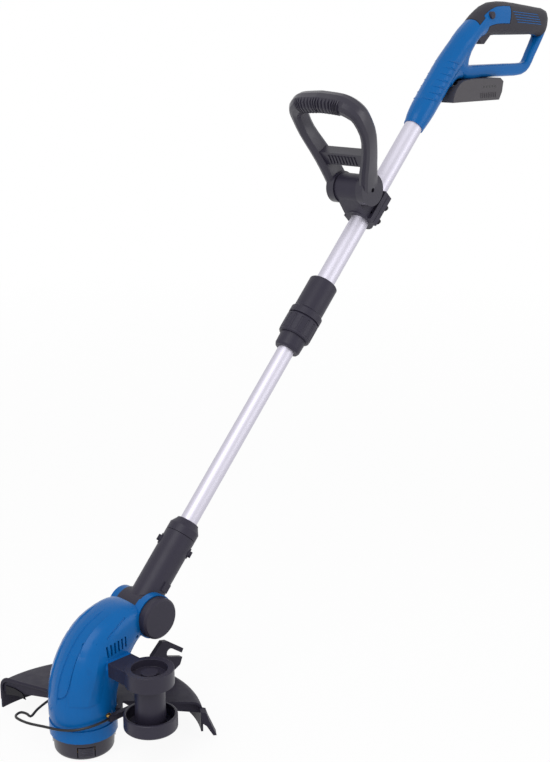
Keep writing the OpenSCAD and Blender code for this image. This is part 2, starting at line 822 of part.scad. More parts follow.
// One ring of the front handle, th from the outer edge round the front to the inner edge
function arm_ring(t) =
    let (
        q = arm_row(t),
        e = 0.02,
        next = arm_row(min(t + e, 2 * last_row)),
        back = arm_row(max(t - e, 0)),
        dir = [next[0] - back[0], next[1] - back[1]],
        along = dir / norm(dir),
        out = [-along[1], along[0]]
    )
    [
        for (th = arm_angles)
            let (
                swell = th > 40 && th < 205 ? rib_swell(t) : 0,
                in_plane = (q[2] + swell) * square_off(cos(th), q[4]),
                depth = (q[3] + swell) * square_off(sin(th), q[4]) - q[5],
                y = q[0] + out[0] * in_plane,
                e_up = q[1] + out[1] * in_plane
            )
            [
                hub[0] - e_up * sin(grip_lean) - depth * cos(grip_lean),
                y,
                hub[1] + e_up * cos(grip_lean) - depth * sin(grip_lean)
            ]
    ];

// Local Z runs from the handle's pivot to its grip, local X to the rear
module on_handle() {
    translate([hub[0], 0, hub[1]]) rotate([0, -grip_lean, 0]) children();
}

cross_at = 46;
cross_h = 18;
cross_d = 15;
cross_bow = 5;
module front_handle() {
    color(BLACK) difference() {
        union() {
            moulded() {
                skin([for (t = arm_stations) arm_ring(t)]);
                on_handle() {
                    translate([cross_bow - cross_d / 2, -38, cross_at - cross_h / 2])
                        cube([cross_d, 76, cross_h]);
                    for (i = [-4:4])
                        translate([cross_bow - cross_d / 2 - 1.2, i * 5.4 - 1.2, cross_at - cross_h / 2 + 2])
                            cube([3, 2.4, cross_h - 6]);
                }
            }
            for (s = [-1, 1]) bar_y(hub, hub_r, s > 0 ? 19 : -hub_out, s > 0 ? hub_out : -19);
        }
        bar_y(hub, bolt_r + run_gap, -60, 60);
        // Clearance round the clamp's barrel
        bar_y(hub, barrel_r + slide_gap, -19, 19);
        on_handle() translate([-40, -19, -40]) cube([80, 38, 40 + barrel_r / 2]);
    }
}

// Telescopic clamp

module collar_sleeve() {
    color(BLACK) on_shaft(collar_s) difference() {
        rotate_extrude() polygon([
            [0, -nose_len], [nose_r, -nose_len], [nose_r, 0],
            [collar_r + 2.4, 0], [collar_r + 2.4, 9], [collar_r, 11],
            [collar_r, collar_len - 2], [collar_r - 2, collar_len], [0, collar_len]
        ]);
        translate([0, 0, -40]) cylinder(r = lower_r + tube_gap, h = collar_len + 60);
        translate([0, 0, -16 - seat_gap]) cylinder(r = upper_d / 2 + seat_gap, h = collar_len + 30);
    }
}

module twist_nut() {
    collet_room = 15.4;
    low_r = 17.7;
    step_z = 19;
    flute_z = step_z + 4;
    flute_top = nut_len - 4;
    color(BLACK) on_shaft(nut_s) difference() {
        union() {
            rotate_extrude() polygon([
                [0, 0], [nut_lip_r, 0], [low_r - 0.5, 3], [low_r, step_z],
                [nut_r - 1.6, step_z], [nut_r - 0.3, step_z + 1.6], [nut_r - 0.3, flute_z], [0, flute_z]
            ]);
            translate([0, 0, flute_z]) linear_extrude(flute_top - flute_z) difference() {
                circle(r = nut_r);
                for (i = [0:nut_flutes - 1]) rotate(360 * (i + 0.5) / nut_flutes)
                    translate([nut_r + 1.8, 0]) circle(r = 2.6);
            }
            rotate_extrude() polygon([
                [0, flute_top], [nut_r, flute_top], [nut_r, nut_len - 2],
                [nut_r - 1.2, nut_len], [0, nut_len]
            ]);
        }
        translate([0, 0, -1]) cylinder(r = lower_r + 2 * tube_gap, h = nut_len + 2);
        translate([0, 0, 3]) cylinder(r = collet_room, h = nut_len);
        translate([0, 0, nut_len - nose_len]) cylinder(r = nose_r + slide_gap, h = nut_len);
    }
}

module collet() {
    color(GREY) on_shaft(collar_s - nose_len - slide_gap / 2 - collet_h) difference() {
        ring(lower_r + tube_gap, 15, 0, collet_h);
        for (a = [0, 90]) rotate([0, 0, a]) translate([-30, -0.8, -1]) cube([60, 1.6, collet_h - 1]);
    }
}

module lower_tube() {
    color(SILVER) on_shaft()
        ring(lower_r - tube_wall, lower_r, seam_s - spigot_len + 4, collar_s - 16 + tube_overlap);
}

// Head joint

button_s = seam_s - 15;
button_travel = 2;
groove_r = spigot_r - button_travel - 0.3;
module swivel_ferrule() {
    color(BLACK) on_shaft() difference() {
        rotate_extrude() polygon([
            [0, seam_s - spigot_len], [spigot_r, seam_s - spigot_len], [spigot_r, button_s - 7],
            [groove_r, button_s - 7], [groove_r, button_s + 7], [spigot_r, button_s + 7], [spigot_r, seam_s],
            [socket_r, seam_s], [socket_r, seam_s + 0.5 * ferrule_len], [14.8, ferrule_s - 2],
            [14, ferrule_s], [0, ferrule_s]
        ]);
        translate([0, 0, seam_s - spigot_len + 4 - seat_gap]) cylinder(r = lower_r + seat_gap, h = 200);
        cylinder(r = lower_r - tube_wall, h = seam_s);
    }
}

knuckle_r = 22.5;
knuckle_half = 19.7;
// Direction of each swivel button round the shaft, from its underside
button_turn = 45;
module swivel_button_place(dir) {
    on_shaft(button_s) rotate([0, 0, dir > 0 ? 180 - button_turn : -button_turn]) rotate([0, 90, 0])
        children();
}

module swivel_socket() {
    color(BLACK) difference() {
        union() {
            on_shaft(0) cylinder(r = socket_r, h = socket_len);
            bar_y(pivot, knuckle_r, -knuckle_half, knuckle_half);
            // Pads beside the buttons
            for (d = [-1, 1]) swivel_button_place(d) cylinder(r = button_r + 2.6, h = socket_r + 0.9);
            // Stop lug above the tilt button
            on_shaft(31) translate([-3, -socket_r - 2, 0]) cube([10, 6, 11]);
        }
        on_shaft(seam_s - spigot_len - slide_gap) cylinder(r = spigot_r + run_gap, h = 200);
        on_shaft(30) cylinder(r = lower_r - tube_wall, h = seam_s);
        bar_y(pivot, pin_r + run_gap, -40, 40);
        for (d = [-1, 1]) swivel_button_place(d) {
            cylinder(r = button_r + run_gap, h = 40);
            cylinder(r = button_r + 1.3, h = spigot_r + 2);
        }
    }
}

module swivel_button(dir) {
    color(BLACK) swivel_button_place(dir) union() {
        translate([0, 0, spigot_r + 0.3]) cylinder(r = button_r, h = socket_r + 3.6 - spigot_r);
        translate([0, 0, spigot_r + 0.3]) cylinder(r = button_r + 1, h = 1.3);
    }
}

module swivel_button_upper() { swivel_button(1); }

module swivel_button_lower() { swivel_button(-1); }

module tilt_pin() { color(STEEL) bar_y(pivot, pin_r, 2 - tilt_floor, lug_y - 1); }

// Motor housing

lug_r = tilt_r + 1.8;
far_lug_r = tilt_r - 4;
lug_in = knuckle_half + slide_gap;
lug_near = lug_y - 1.2;
knob_out = lug_y + 10;
tilt_floor = lug_in + 5;
tilt_travel = 4;
skirt_z = cap_h + 0.6;
skirt_top = 40;
groove_top = 46;

// Rows up the housing: x, z, lean, half depth, half width, squareness
housing_rows = [
    [0, skirt_z, 0, skirt_r, skirt_r, 2],
    [0, 0.3 * pivot_z, 0, skirt_r, skirt_r, 2],
    [0, 0.46 * pivot_z, 3, skirt_r, skirt_r - 0.5, 2],
    [0.07 * pivot_x, 0.63 * pivot_z, 15, skirt_r + 1, skirt_r - 2.5, 2.2],
    [0.25 * pivot_x, 0.81 * pivot_z, 25, skirt_r + 0.5, lug_y + 4, 2.4],
    [0.47 * pivot_x, 0.94 * pivot_z, 34, skirt_r - 4, lug_y + 2, 2.5],
    [0.74 * pivot_x, pivot_z, 48, lug_r + 2, lug_y, 2.6],
    [0.89 * pivot_x, pivot_z, 58, lug_r - 3, lug_y - 0.5, 2.6]
];
channel_from = 4;
channel_to = 22;
channel_depth = 1.5;
housing_angles = [0, 3, channel_from, 13, channel_to, 24, 36, 50, 64, 78, 92, 106, 120, 134, 148, 164, 180];
housing_steps = [for (t = [0:len(housing_rows) - 2]) each [t, t + 0.34, t + 0.67], len(housing_rows) - 1];
function channel_inset(t, th) =
    t > 2.1 && t < 5.6 && th >= channel_from && th <= channel_to ? channel_depth : 0;

function housing_point(t, th, side_sign, inset) =
    let (
        q = smooth(housing_rows, t),
        along = (q[3] - inset) * square_off(cos(th), q[5]),
        wide = (q[4] - inset) * square_off(sin(th), q[5])
    )
    [q[0] - along * cos(q[2]), side_sign * wide, q[1] + along * sin(q[2])];

function housing_ring(t, side_sign) =
    let (
        r = concat(
            [for (th = housing_angles) housing_point(t, th, side_sign, channel_inset(t, th))],
            [for (th = [180:-30:0]) housing_point(t, th, side_sign, housing_wall + channel_depth * 0.4)]
        )
    )
    side_sign > 0 ? r : [for (i = [len(r) - 1:-1:0]) r[i]];

// The same rings without the hollow
function housing_solid(t, side_sign) =
    let (r = [for (th = housing_angles) housing_point(t, th, side_sign, channel_inset(t, th))])
    side_sign > 0 ? r : [for (i = [len(r) - 1:-1:0]) r[i]];

housing_screw_at = [[2, 140], [-12, 111], [60, 130], [34, 82]];
housing_screw_half = 14;
pad_x0 = pivot_x - 79;
pad_x1 = pivot_x - 44;
pad_z0 = wheel_z + wheel_h + 1.4;
pad_z1 = wheel_z + wheel_h + slide_gap + bracket_h - 1;
pad_y = skirt_r - 2;

module housing_half(side_sign) {
    y_in = side_sign * (lug_in - 1.5);
    y_out = side_sign > 0 ? lug_y : -lug_near;
    difference() {
        moulded() {
            skin([for (t = housing_steps) housing_ring(t, side_sign)]);
            bar_y(pivot, side_sign > 0 ? far_lug_r : lug_r, min(y_in, y_out), max(y_in, y_out), $fn = 48);
            intersection() {
                skin([for (t = housing_steps) housing_solid(t, side_sign)]);
                union() for (p = housing_screw_at)
                    bar_y(p, 5, min(0, side_sign * 50), max(0, side_sign * 50), $fn = 14);
            }
            if (side_sign < 0) translate([pad_x0, -pad_y, pad_z0])
                cube([pad_x1 - pad_x0, 9, pad_z1 - pad_z0]);
        }
        // Room for the knuckle and for the socket over its whole tilt
        side(-lug_in, lug_in) translate(pivot) union() {
            circle(r = knuckle_r + 1);
            for (a = [tilt_down, shaft_angle, tilt_up]) rotate(a)
                translate([0, -knuckle_r]) square([120, 2 * knuckle_r]);
        }
        bar_y(pivot, pin_r + seat_gap, -60, 60);
        if (side_sign < 0) bar_y(pivot, tilt_r + slide_gap, -60, -tilt_floor);
        // Round inside of the skirt, up to the motor plate's seat
        cylinder_z(skirt_r - housing_wall, 0, plate_z + plate_t);
        // Groove for the plant guard's wire
        translate([0, 0, skirt_top]) ring(skirt_r - 1.7, skirt_r + 10, 0, groove_top - skirt_top);
        housing_vents(side_sign);
        for (p = housing_screw_at) {
            bar_y(p, screw_r + seat_gap, -60, 60);
            if (side_sign > 0) bar_y(p, screw_head_r + 0.3, housing_screw_half - screw_head_h, 60);
        }
    }
}

tilt_back = 45;
tilt_forward = 15;
tilt_down = shaft_angle - tilt_back;
tilt_up = shaft_angle + tilt_forward;

vent_n = 6;
vent_step = 5.4;
module housing_vents(side_sign) {
    for (i = [0:vent_n - 1])
        translate([12 + i * vent_step, side_sign > 0 ? 20 : -60, 121 + i * 0.8]) cube([2.4, 40, 13]);
}

module housing_left() { color(BLUE) housing_half(-1); }

module housing_right() { color(BLUE) housing_half(1); }

module housing_screws() {
    color(STEEL) for (p = housing_screw_at) union() {
        bar_y(p, screw_r, -housing_screw_half, housing_screw_half);
        bar_y(p, screw_head_r, housing_screw_half - screw_head_h, housing_screw_half);
    }
}

module tilt_button() {
    base = tilt_floor + tilt_travel + slide_gap;
    thick = knob_out - base;
    color(BLACK) translate([pivot_x, -base, pivot_z]) rotate([90, 0, 0]) rotate_extrude()
        polygon([[0, 0], [tilt_r, 0], [tilt_r, thick - 2.5], [tilt_r - 2.5, thick], [0, thick]]);
}

plate_z = guard_top - 5;
plate_t = 3;
motor_shaft_r = 2.5;
module motor_plate() {
    color(GREY) ring(9, skirt_r - housing_wall - 0.2, plate_z, plate_z + plate_t);
}

module motor_can() {
    color(STEEL) ring(motor_shaft_r + run_gap, motor_r, plate_z + plate_t, plate_z + plate_t + motor_len);
}

// Line head

holder_z = skirt_z + 1;
module motor_shaft() {
    color(STEEL) cylinder_z(motor_shaft_r, holder_z + 2, plate_z + plate_t + motor_len - 1);
}

module cylinder_z(r, z0, z1) { translate([0, 0, z0]) cylinder(r = r, h = z1 - z0); }

cap_wall = 2.4;
holder_r = cap_r - cap_wall - seat_gap - 0.3;
spool_bore = 7.5;
module spool_holder() {
    color(BLACK) difference() {
        union() {
            cylinder_z(cap_r - 0.6, holder_z, holder_z + 3);
            cylinder_z(7, holder_z, plate_z - 3);
            cylinder_z(spool_bore - 0.3, 8, holder_z + 1);
            ring(holder_r - 2, holder_r, cap_h - 4.4, holder_z + 1);
        }
        cylinder_z(motor_shaft_r, holder_z + 2, plate_z);
    }
}

spool_low = 5;
spool_top = cap_h - 2;
flange_r = holder_r - 3;
module spool() {
    color(BLACK) difference() {
        union() {
            cylinder_z(flange_r, spool_low, spool_low + 1.8);
            cylinder_z(flange_r, spool_top - 1.8, spool_top);
            cylinder_z(15, spool_low, spool_top);
        }
        cylinder_z(spool_bore, 0, cap_h);
        cylinder_z(12.8, 0, spool_low + 7);
        // Windows in the upper flange
        for (a = [0:45:315]) rotate([0, 0, a]) translate([21, 0, spool_top - 3]) cylinder(r = 3.4, h = 6);
    }
}

module line_winding() {
    color("#D8D8D4") ring(15 + seat_gap, flange_r - 2, spool_low + 1.85, spool_top - 1.85);
}

module spool_spring() {
    turns = 4;
    wire_r = 0.7;
    spring_low = cap_wall + wire_r + 0.1;
    spring_rise = spool_low + 7 - wire_r - 0.1 - spring_low;
    route = [
        for (i = [0:turns * 14])
            [10.4 * cos(360 / 14 * i), 10.4 * sin(360 / 14 * i), spring_low + spring_rise * i / (turns * 14)]
    ];
    color(STEEL) skin(wire_rings(route, wire_r, 5));
}

tab_turn = 236;
eyelet_turn = tab_turn + 90;
eyelet_z = 14;
eyelet_r = 3.2;
module spool_cap() {
    fillet = 6;
    tab_w = 20;
    tab_h = 14;
    slit = 1.1;
    color(BLACK) difference() {
        rotate_extrude() polygon(concat(
            [[0, 0]],
            arc([cap_r - 1.2 - fillet, fillet], fillet, -90, 0, 6),
            [[cap_r, cap_h], [cap_r - cap_wall, cap_h]],
            arc([cap_r - 1.2 - fillet, fillet], fillet - cap_wall, 0, -90, 4),
            [[0, cap_wall]]
        ));
        // Slits that free the two release tabs on three sides
        for (a = [0, 180]) rotate([0, 0, tab_turn + a]) {
            for (s = [-1, 1]) translate([cap_r - 6, s * tab_w / 2 - slit / 2, 4]) cube([12, slit, tab_h]);
            translate([cap_r - 6, -tab_w / 2 - slit / 2, 4 + tab_h - slit]) cube([12, tab_w + slit, slit]);
        }
        for (a = [0, 180]) rotate([0, 0, eyelet_turn + a]) translate([20, 0, eyelet_z]) rotate([0, 90, 0])
            cylinder(r = eyelet_r + seat_gap, h = 30);
    }
}

module line_eyelets() {
    color(STEEL) for (a = [0, 180]) rotate([0, 0, eyelet_turn + a]) translate([cap_r - 3.2, 0, eyelet_z])
        rotate([0, 90, 0]) ring(1.4, eyelet_r, 0, 3.6);
}

// Guard and plant guard

guard_in = skirt_r + 0.4;
arm_y = skirt_r + 3.6;
arm_w = 6;
wire_z = guard_top - 3.2;
arm_front = 3;
arm_rear = 66;
shoulder_r = guard_r - guard_shoulder;
shoulder_z = guard_top - guard_drop - guard_shoulder;

// Section of the guard from the housing to its skirt
module guard_section() {
    polygon(concat(
        [[guard_in + 2, guard_top - guard_t], [guard_in + arm_w + 1.5, guard_top - guard_t]],
        arc([shoulder_r, shoulder_z], guard_shoulder - guard_t, 84, 0, 6),
        [[guard_r - guard_t, guard_low], [guard_r, guard_low]],
        arc([shoulder_r, shoulder_z], guard_shoulder, 0, 84, 6),
        [[guard_in + arm_w + 1.5, guard_top], [guard_in + 2, guard_top]]
    ));
}

module guard() {
    tongue_turn = guard_from - 2;
    color(BLACK) difference() {
        union() {
            rotate([0, 0, guard_from]) rotate_extrude(angle = guard_to - guard_from) guard_section();
            // Collar round the housing
            rotate([0, 0, guard_from - 22]) rotate_extrude(angle = guard_to - guard_from + 22)
                translate([guard_in, guard_top - 7]) square([arm_w, 7.7]);
            // Side arms that hold the wire's legs
            for (s = [-1, 1]) translate([arm_front, s * arm_y - arm_w / 2, guard_top - 6.4])
                cube([arm_rear - arm_front, arm_w, 6.8]);
            // Flanges that stiffen both ends
            rotate([0, 0, guard_to - 1]) end_flange();
            rotate([0, 0, guard_from + 3.8]) end_flange();
            // Tongue that hangs at the near end
            rotate([0, 0, tongue_turn]) rotate([90, 0, 0]) linear_extrude(13, center = true) polygon([
                [guard_r - 4, shoulder_z + 5], [guard_r + 3, shoulder_z + 3], [guard_r + 6, shoulder_z - 6],
                [guard_r + 15, guard_low], [guard_r + 11, guard_low], [guard_r + 3, shoulder_z - 14],
                [guard_r - 2, shoulder_z - 10]
            ]);
            guard_hook();
        }
        for (s = [-1, 1]) translate([-1, s * arm_y, wire_z]) rotate([0, 90, 0])
            cylinder(r = wire_d / 2 + run_gap, h = arm_rear - 5);
        // Mouth of the far channel
        translate([-16, arm_y, wire_z]) rotate([0, 90, 0]) cylinder(r = wire_d / 2 + 1, h = 16);
        for (a = guard_screw_turn) rotate([0, 0, a]) translate([guard_in - 1, 0, guard_top - 3.6])
            rotate([0, 90, 0]) {
                cylinder(r = screw_r + seat_gap, h = 10);
                translate([0, 0, arm_w + 0.4]) cylinder(r = screw_head_r + 0.3, h = 6);
            }
    }
}

module end_flange() {
    rotate([90, 0, 0]) linear_extrude(guard_t) polygon([
        [guard_in + arm_w - 1.5, guard_top - 1], [shoulder_r, shoulder_z + guard_shoulder - 1],
        [guard_r - 4.6, shoulder_z + 7], [guard_r - 1, shoulder_z], [guard_r - 1, shoulder_z - 6],
        [guard_r - 20, shoulder_z - 2], [guard_in + 18, guard_top - 11]
    ]);
}

// The open hook that stands on the guard behind the housing
module guard_hook() {
    x = guard_r - 41;
    z = guard_top;
    side(-3, 3) polygon(concat(
        [[x, z - 7], [x + 2, z + 4], [x + 6, z + 24], [x + 22, z + 38], [x + 30, z + 36]],
        [[x + 56, z + 17], [x + 53, z + 12]],
        arc([x + 34, z + 19], 5.5, 60, 240, 6),
        [[x + 54, z + 6], [x + 50, z - 3], [x + 30, z - 12]]
    ));
}

guard_screw_turn = [14, 46];
module guard_screws() {
    color(BRASS) for (a = guard_screw_turn) rotate([0, 0, a]) translate([guard_in + 0.4, 0, guard_top - 3.6])
        rotate([0, 90, 0]) union() {
            cylinder(r = screw_r, h = arm_w);
            translate([0, 0, arm_w - 1 + seat_gap]) cylinder(r = screw_head_r, h = screw_head_h);
        }
}

module line_cutter() {
    blade_t = 1.2;
    color(STEEL) rotate([0, 0, guard_to - 1]) rotate([90, 0, 0]) translate([0, 0, -blade_t - seat_gap])
        linear_extrude(blade_t) polygon([
            [guard_r - 8, shoulder_z + 4], [guard_r - 24, shoulder_z + 5], [guard_r - 37, shoulder_z + 3],
            [guard_r - 43, shoulder_z - 4], [guard_r - 30, shoulder_z - 3], [guard_r - 8, shoulder_z - 8]
        ]);
}

// Route of the wire: far leg, kinked corner, front bow and near leg
module plant_guard() {
    bow = wire_z - 8;
    route_rows = [
        [arm_rear - 8, arm_y, wire_z],
        [30, arm_y, wire_z],
        [0, arm_y, wire_z],
        [-8, arm_y, wire_z],
        [-20, arm_y + 0.4, wire_z - 2.4],
        [-34, 43, wire_z - 6],
        [-47, 38, bow],
        [-47, 47, bow],
        [-50, 54, bow],
        [-57, 53, bow],
        [-61, 46, bow],
        [-59, 28, bow],
        [-50, 6, bow],
        [-44, -12, bow + 1],
        [-35, -28, bow + 3],
        [-22, -39, bow + 6],
        [-8, -arm_y + 0.6, wire_z - 0.6],
        [2, -arm_y, wire_z],
        [30, -arm_y, wire_z],
        [arm_rear - 8, -arm_y, wire_z]
    ];
    last = len(route_rows) - 1;
    route = [for (t = [0:0.34:last - 0.5]) smooth(route_rows, t), route_rows[last]];
    color(BLACK) skin(wire_rings(route, wire_d / 2, 7));
}

// Edge wheel

wheel_x = pivot_x - wheel_ahead;
axle_r = 5;
ring_z = wheel_z + wheel_h + slide_gap;
ring_top = ring_z + bracket_h;
recess = 9;

module at_wheel() { translate([wheel_x, -wheel_y, 0]) children(); }

module wheel_bracket() {
    color(BLACK) difference() {
        union() {
            at_wheel() cylinder_z(bracket_r, ring_z, ring_top);
            translate([pad_x0, -wheel_y, pad_z0])
                cube([pad_x1 - pad_x0, wheel_y - pad_y - seat_gap, pad_z1 - pad_z0]);
        }
        at_wheel() {
            cylinder_z(bracket_r + 2, ring_z - 20, ring_z);
            cylinder_z(bracket_r - 7.5, ring_top - recess, ring_top + 20);
            cylinder_z(axle_r + seat_gap, 0, 200);
        }
    }
}

module wheel_axle() {
    color(BLACK) at_wheel() union() {
        cylinder_z(axle_r, wheel_z + 0.6, ring_top - recess + 1);
        cylinder_z(10, ring_top - recess + seat_gap, ring_top - recess + 4);
        cylinder_z(axle_r + 3, wheel_z + 0.6, wheel_z + 2.6);
    }
}

hub_column_r = 17.5;
module edge_wheel() {
    color(BLACK) at_wheel() difference() {
        rotate_extrude() polygon([
            [0, wheel_z], [wheel_r - 2, wheel_z], [wheel_r, wheel_z + 2], [wheel_r, wheel_z + rim_h - 1],
            [wheel_r - 1, wheel_z + rim_h], [wheel_r - 3.4, wheel_z + rim_h], [wheel_r - 4, wheel_z + 4],
            [hub_column_r + 0.6, wheel_z + 4], [hub_column_r, wheel_z + wheel_h], [0, wheel_z + wheel_h]
        ]);
        cylinder_z(axle_r + run_gap, 0, 200);
        cylinder_z(axle_r + 3.4, 0, wheel_z + 3);
    }
}

handle_shell_left();
handle_shell_right();
soft_grip();
upper_tube();
trigger();
trigger_pin();
trigger_spring();
lock_off_button();
micro_switch();
handle_screws();
battery_rail();
battery_contacts();
battery_lower_case();
battery_upper_case();
battery_cells();
battery_latch();
charge_indicator();
clamp_upper();
clamp_lower();
clamp_screws();
handle_pivot_bolt();
front_handle();
collar_sleeve();
twist_nut();
collet();
lower_tube();
swivel_ferrule();
swivel_socket();
swivel_button_upper();
swivel_button_lower();
tilt_pin();
tilt_button();
housing_left();
housing_right();
housing_screws();
motor_plate();
motor_can();
motor_shaft();
spool_holder();
spool();
line_winding();
spool_spring();
spool_cap();
line_eyelets();
guard();
guard_screws();
line_cutter();
plant_guard();
wheel_bracket();
wheel_axle();
edge_wheel();
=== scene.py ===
"""Cordless grass trimmer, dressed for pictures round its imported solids.

Run as a script in Blender: it loads the solids as a fixed frame, gives each one its finish, replaces the
moulded ones by smooth or edge-rounded pieces, adds the small mouldings, and sets a pale studio.
"""

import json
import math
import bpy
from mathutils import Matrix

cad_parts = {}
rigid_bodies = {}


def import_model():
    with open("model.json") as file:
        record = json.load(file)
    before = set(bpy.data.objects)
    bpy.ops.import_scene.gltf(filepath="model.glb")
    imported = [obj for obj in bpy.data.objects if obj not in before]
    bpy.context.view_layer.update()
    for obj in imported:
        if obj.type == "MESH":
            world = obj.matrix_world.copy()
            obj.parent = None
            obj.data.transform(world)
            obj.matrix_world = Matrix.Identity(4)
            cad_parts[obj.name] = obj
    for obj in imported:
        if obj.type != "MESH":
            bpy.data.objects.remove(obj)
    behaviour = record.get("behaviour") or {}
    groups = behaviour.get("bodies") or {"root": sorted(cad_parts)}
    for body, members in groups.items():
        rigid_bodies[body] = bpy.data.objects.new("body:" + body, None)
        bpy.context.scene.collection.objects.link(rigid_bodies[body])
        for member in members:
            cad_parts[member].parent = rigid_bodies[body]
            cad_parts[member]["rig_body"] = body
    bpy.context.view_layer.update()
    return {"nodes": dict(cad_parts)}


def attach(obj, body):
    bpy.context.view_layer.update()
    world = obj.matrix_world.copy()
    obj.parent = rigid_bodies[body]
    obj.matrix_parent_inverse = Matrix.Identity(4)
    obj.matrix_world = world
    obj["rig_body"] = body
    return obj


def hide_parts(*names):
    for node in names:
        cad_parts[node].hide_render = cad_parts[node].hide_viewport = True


bl_info = {
    "name": "Grass Trimmer Look",
    "version": (1, 0, 0),
    "blender": (4, 5, 0),
    "location": "View3D > Sidebar > Trimmer",
    "description": "Finishes, mouldings and studio for a cordless grass trimmer",
    "category": "Object",
}

import bmesh
import bpy
from bpy.props import FloatProperty, FloatVectorProperty, IntProperty, PointerProperty
from mathutils import Matrix, Vector
from mathutils.bvhtree import BVHTree

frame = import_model()
NODES = frame["nodes"]
MM = 0.001
UP = Vector((0, 0, 1))
WHITE = (1, 1, 1, 1)
SHAFT_RISE = math.radians(47)

# Tolerances of the meshes, in metres
MERGE = 2e-7  # vertices closer than this are one vertex
SLIVER = 0.0001  # edges shorter than this are closed before the edges are rounded
WELD = 0.00001  # corners that the rounding leaves closer than this are joined

# Angles in degrees above which a bend stays an edge
FACET_EDGE = 32
MOULDED_EDGE = 30
BAR_EDGE = 50

# Sockets of the mix node for colours
MIX_FACTOR, MIX_A, MIX_B, MIX_RESULT = 0, 6, 7, 2


def linear(code):
    """An sRGB hex value as linear red, green, blue and alpha."""
    parts = [int(code[i : i + 2], 16) / 255 for i in (1, 3, 5)]
    return [c / 12.92 if c <= 0.04045 else ((c + 0.055) / 1.055) ** 2.4 for c in parts] + [1.0]


def colour(name, code, text):
    """A colour that a user may change, with an sRGB hex default."""
    return FloatVectorProperty(
        name=name, description=text, subtype="COLOR", size=4, min=0, max=1, default=linear(code)
    )


def length(name, value, text):
    """A length in millimetres that a user may change."""
    return FloatProperty(name=name, description=text, default=value * MM, min=0, unit="LENGTH", precision=5)


class TrimmerColours(bpy.types.PropertyGroup):
    """Colours of the trimmer's finishes."""

    shell: colour("Shell blue", "#0862A9", "Blue of the handle and the motor housing")
    fitting: colour("Fitting black", "#2E2B39", "Charcoal of the moulded fittings")
    grip: colour("Grip grey", "#302E37", "Dark grey of the soft grip")
    pack: colour("Battery grey", "#48454A", "Grey of the battery's case")
    tube: colour("Tube silver", "#CBC8D4", "Silver of the anodised tubes")
    steel: colour("Steel", "#B4B6BB", "Bright steel of the pins and the motor")
    zinc: colour("Zinc yellow", "#B8924E", "Yellow zinc of the screws")
    oxide: colour("Black oxide", "#2A292D", "Blackened steel of the clamp's screws and the line cutter")
    floor: colour("Floor", "#FFFFFF", "Pale paper under the trimmer")


class TrimmerSizes(bpy.types.PropertyGroup):
    """Sizes of the roundings and small mouldings."""

    edge: length("Edge rounding", 0.7, "Rounding of the moulded edges")
    fine_edge: length("Fine rounding", 0.3, "Rounding of small edges")
    grip_ribs: IntProperty(
        name="Grip lines", description="Raised lines on each side of the grip", default=5, min=1
    )
    grip_rib: length("Grip line", 0.5, "Half width of a raised line on the grip")


class TrimmerStage(bpy.types.PropertyGroup):
    """Camera, lamps and floor."""

    lens: FloatProperty(
        name="Lens", description="Focal length for a 36 mm sensor", default=62.9, unit="CAMERA"
    )
    key: FloatProperty(name="Key lamp", description="Power of the large lamp", default=27, unit="POWER")
    fill: FloatProperty(name="Fill lamp", description="Power of the side lamp", default=9, unit="POWER")
    world: FloatProperty(name="Room light", description="Strength of the room's light", default=0.54, min=0)
    paper: FloatProperty(
        name="Paper white", description="Share of plain white in the floor", default=0.93, min=0, max=1
    )


def add(tree, kind, values=None, **settings):
    """Add a shader node, set its properties, and set or link its inputs."""
    made = tree.nodes.new(kind)
    for key, value in settings.items():
        setattr(made, key, value)
    for key, value in (values or {}).items():
        if isinstance(value, bpy.types.NodeSocket):
            tree.links.new(value, made.inputs[key])
        else:
            made.inputs[key].default_value = value
    return made


def shade(colour_value, factor):
    """A colour made darker or lighter."""
    return [min(1.0, c * factor) for c in colour_value[:3]] + [1.0]


FINISHES = {}


def blank(name):
    """A new finish: its node tree, its shader and its Object coordinates."""
    made = bpy.data.materials.new(name)
    made.use_nodes = True
    FINISHES[name] = made
    tree = made.node_tree
    return tree, tree.nodes["Principled BSDF"], add(tree, "ShaderNodeTexCoord").outputs["Object"]


def noise(tree, place, wide_mm, detail):
    """A noise whose features are so many millimetres wide."""
    values = {"Vector": place, "Scale": 1000 / wide_mm, "Detail": detail}
    return add(tree, "ShaderNodeTexNoise", values).outputs["Fac"]


def tint(tree, shader, pattern, dark, light):
    """Let the colour drift between two shades."""
    values = {MIX_FACTOR: pattern, MIX_A: dark, MIX_B: light}
    mixed = add(tree, "ShaderNodeMix", values, data_type="RGBA")
    tree.links.new(mixed.outputs[MIX_RESULT], shader.inputs["Base Color"])


def dull(tree, shader, pattern, rough, swing):
    """Let the roughness swing about its middle."""
    values = {"Value": pattern, "To Min": rough - swing, "To Max": rough + swing}
    spread = add(tree, "ShaderNodeMapRange", values)
    tree.links.new(spread.outputs["Result"], shader.inputs["Roughness"])


def emboss(tree, shader, pattern, strength, depth_mm):
    """Let a pattern stand out as bump."""
    values = {"Height": pattern, "Strength": strength, "Distance": depth_mm * MM}
    bump = add(tree, "ShaderNodeBump", values)
    tree.links.new(bump.outputs["Normal"], shader.inputs["Normal"])


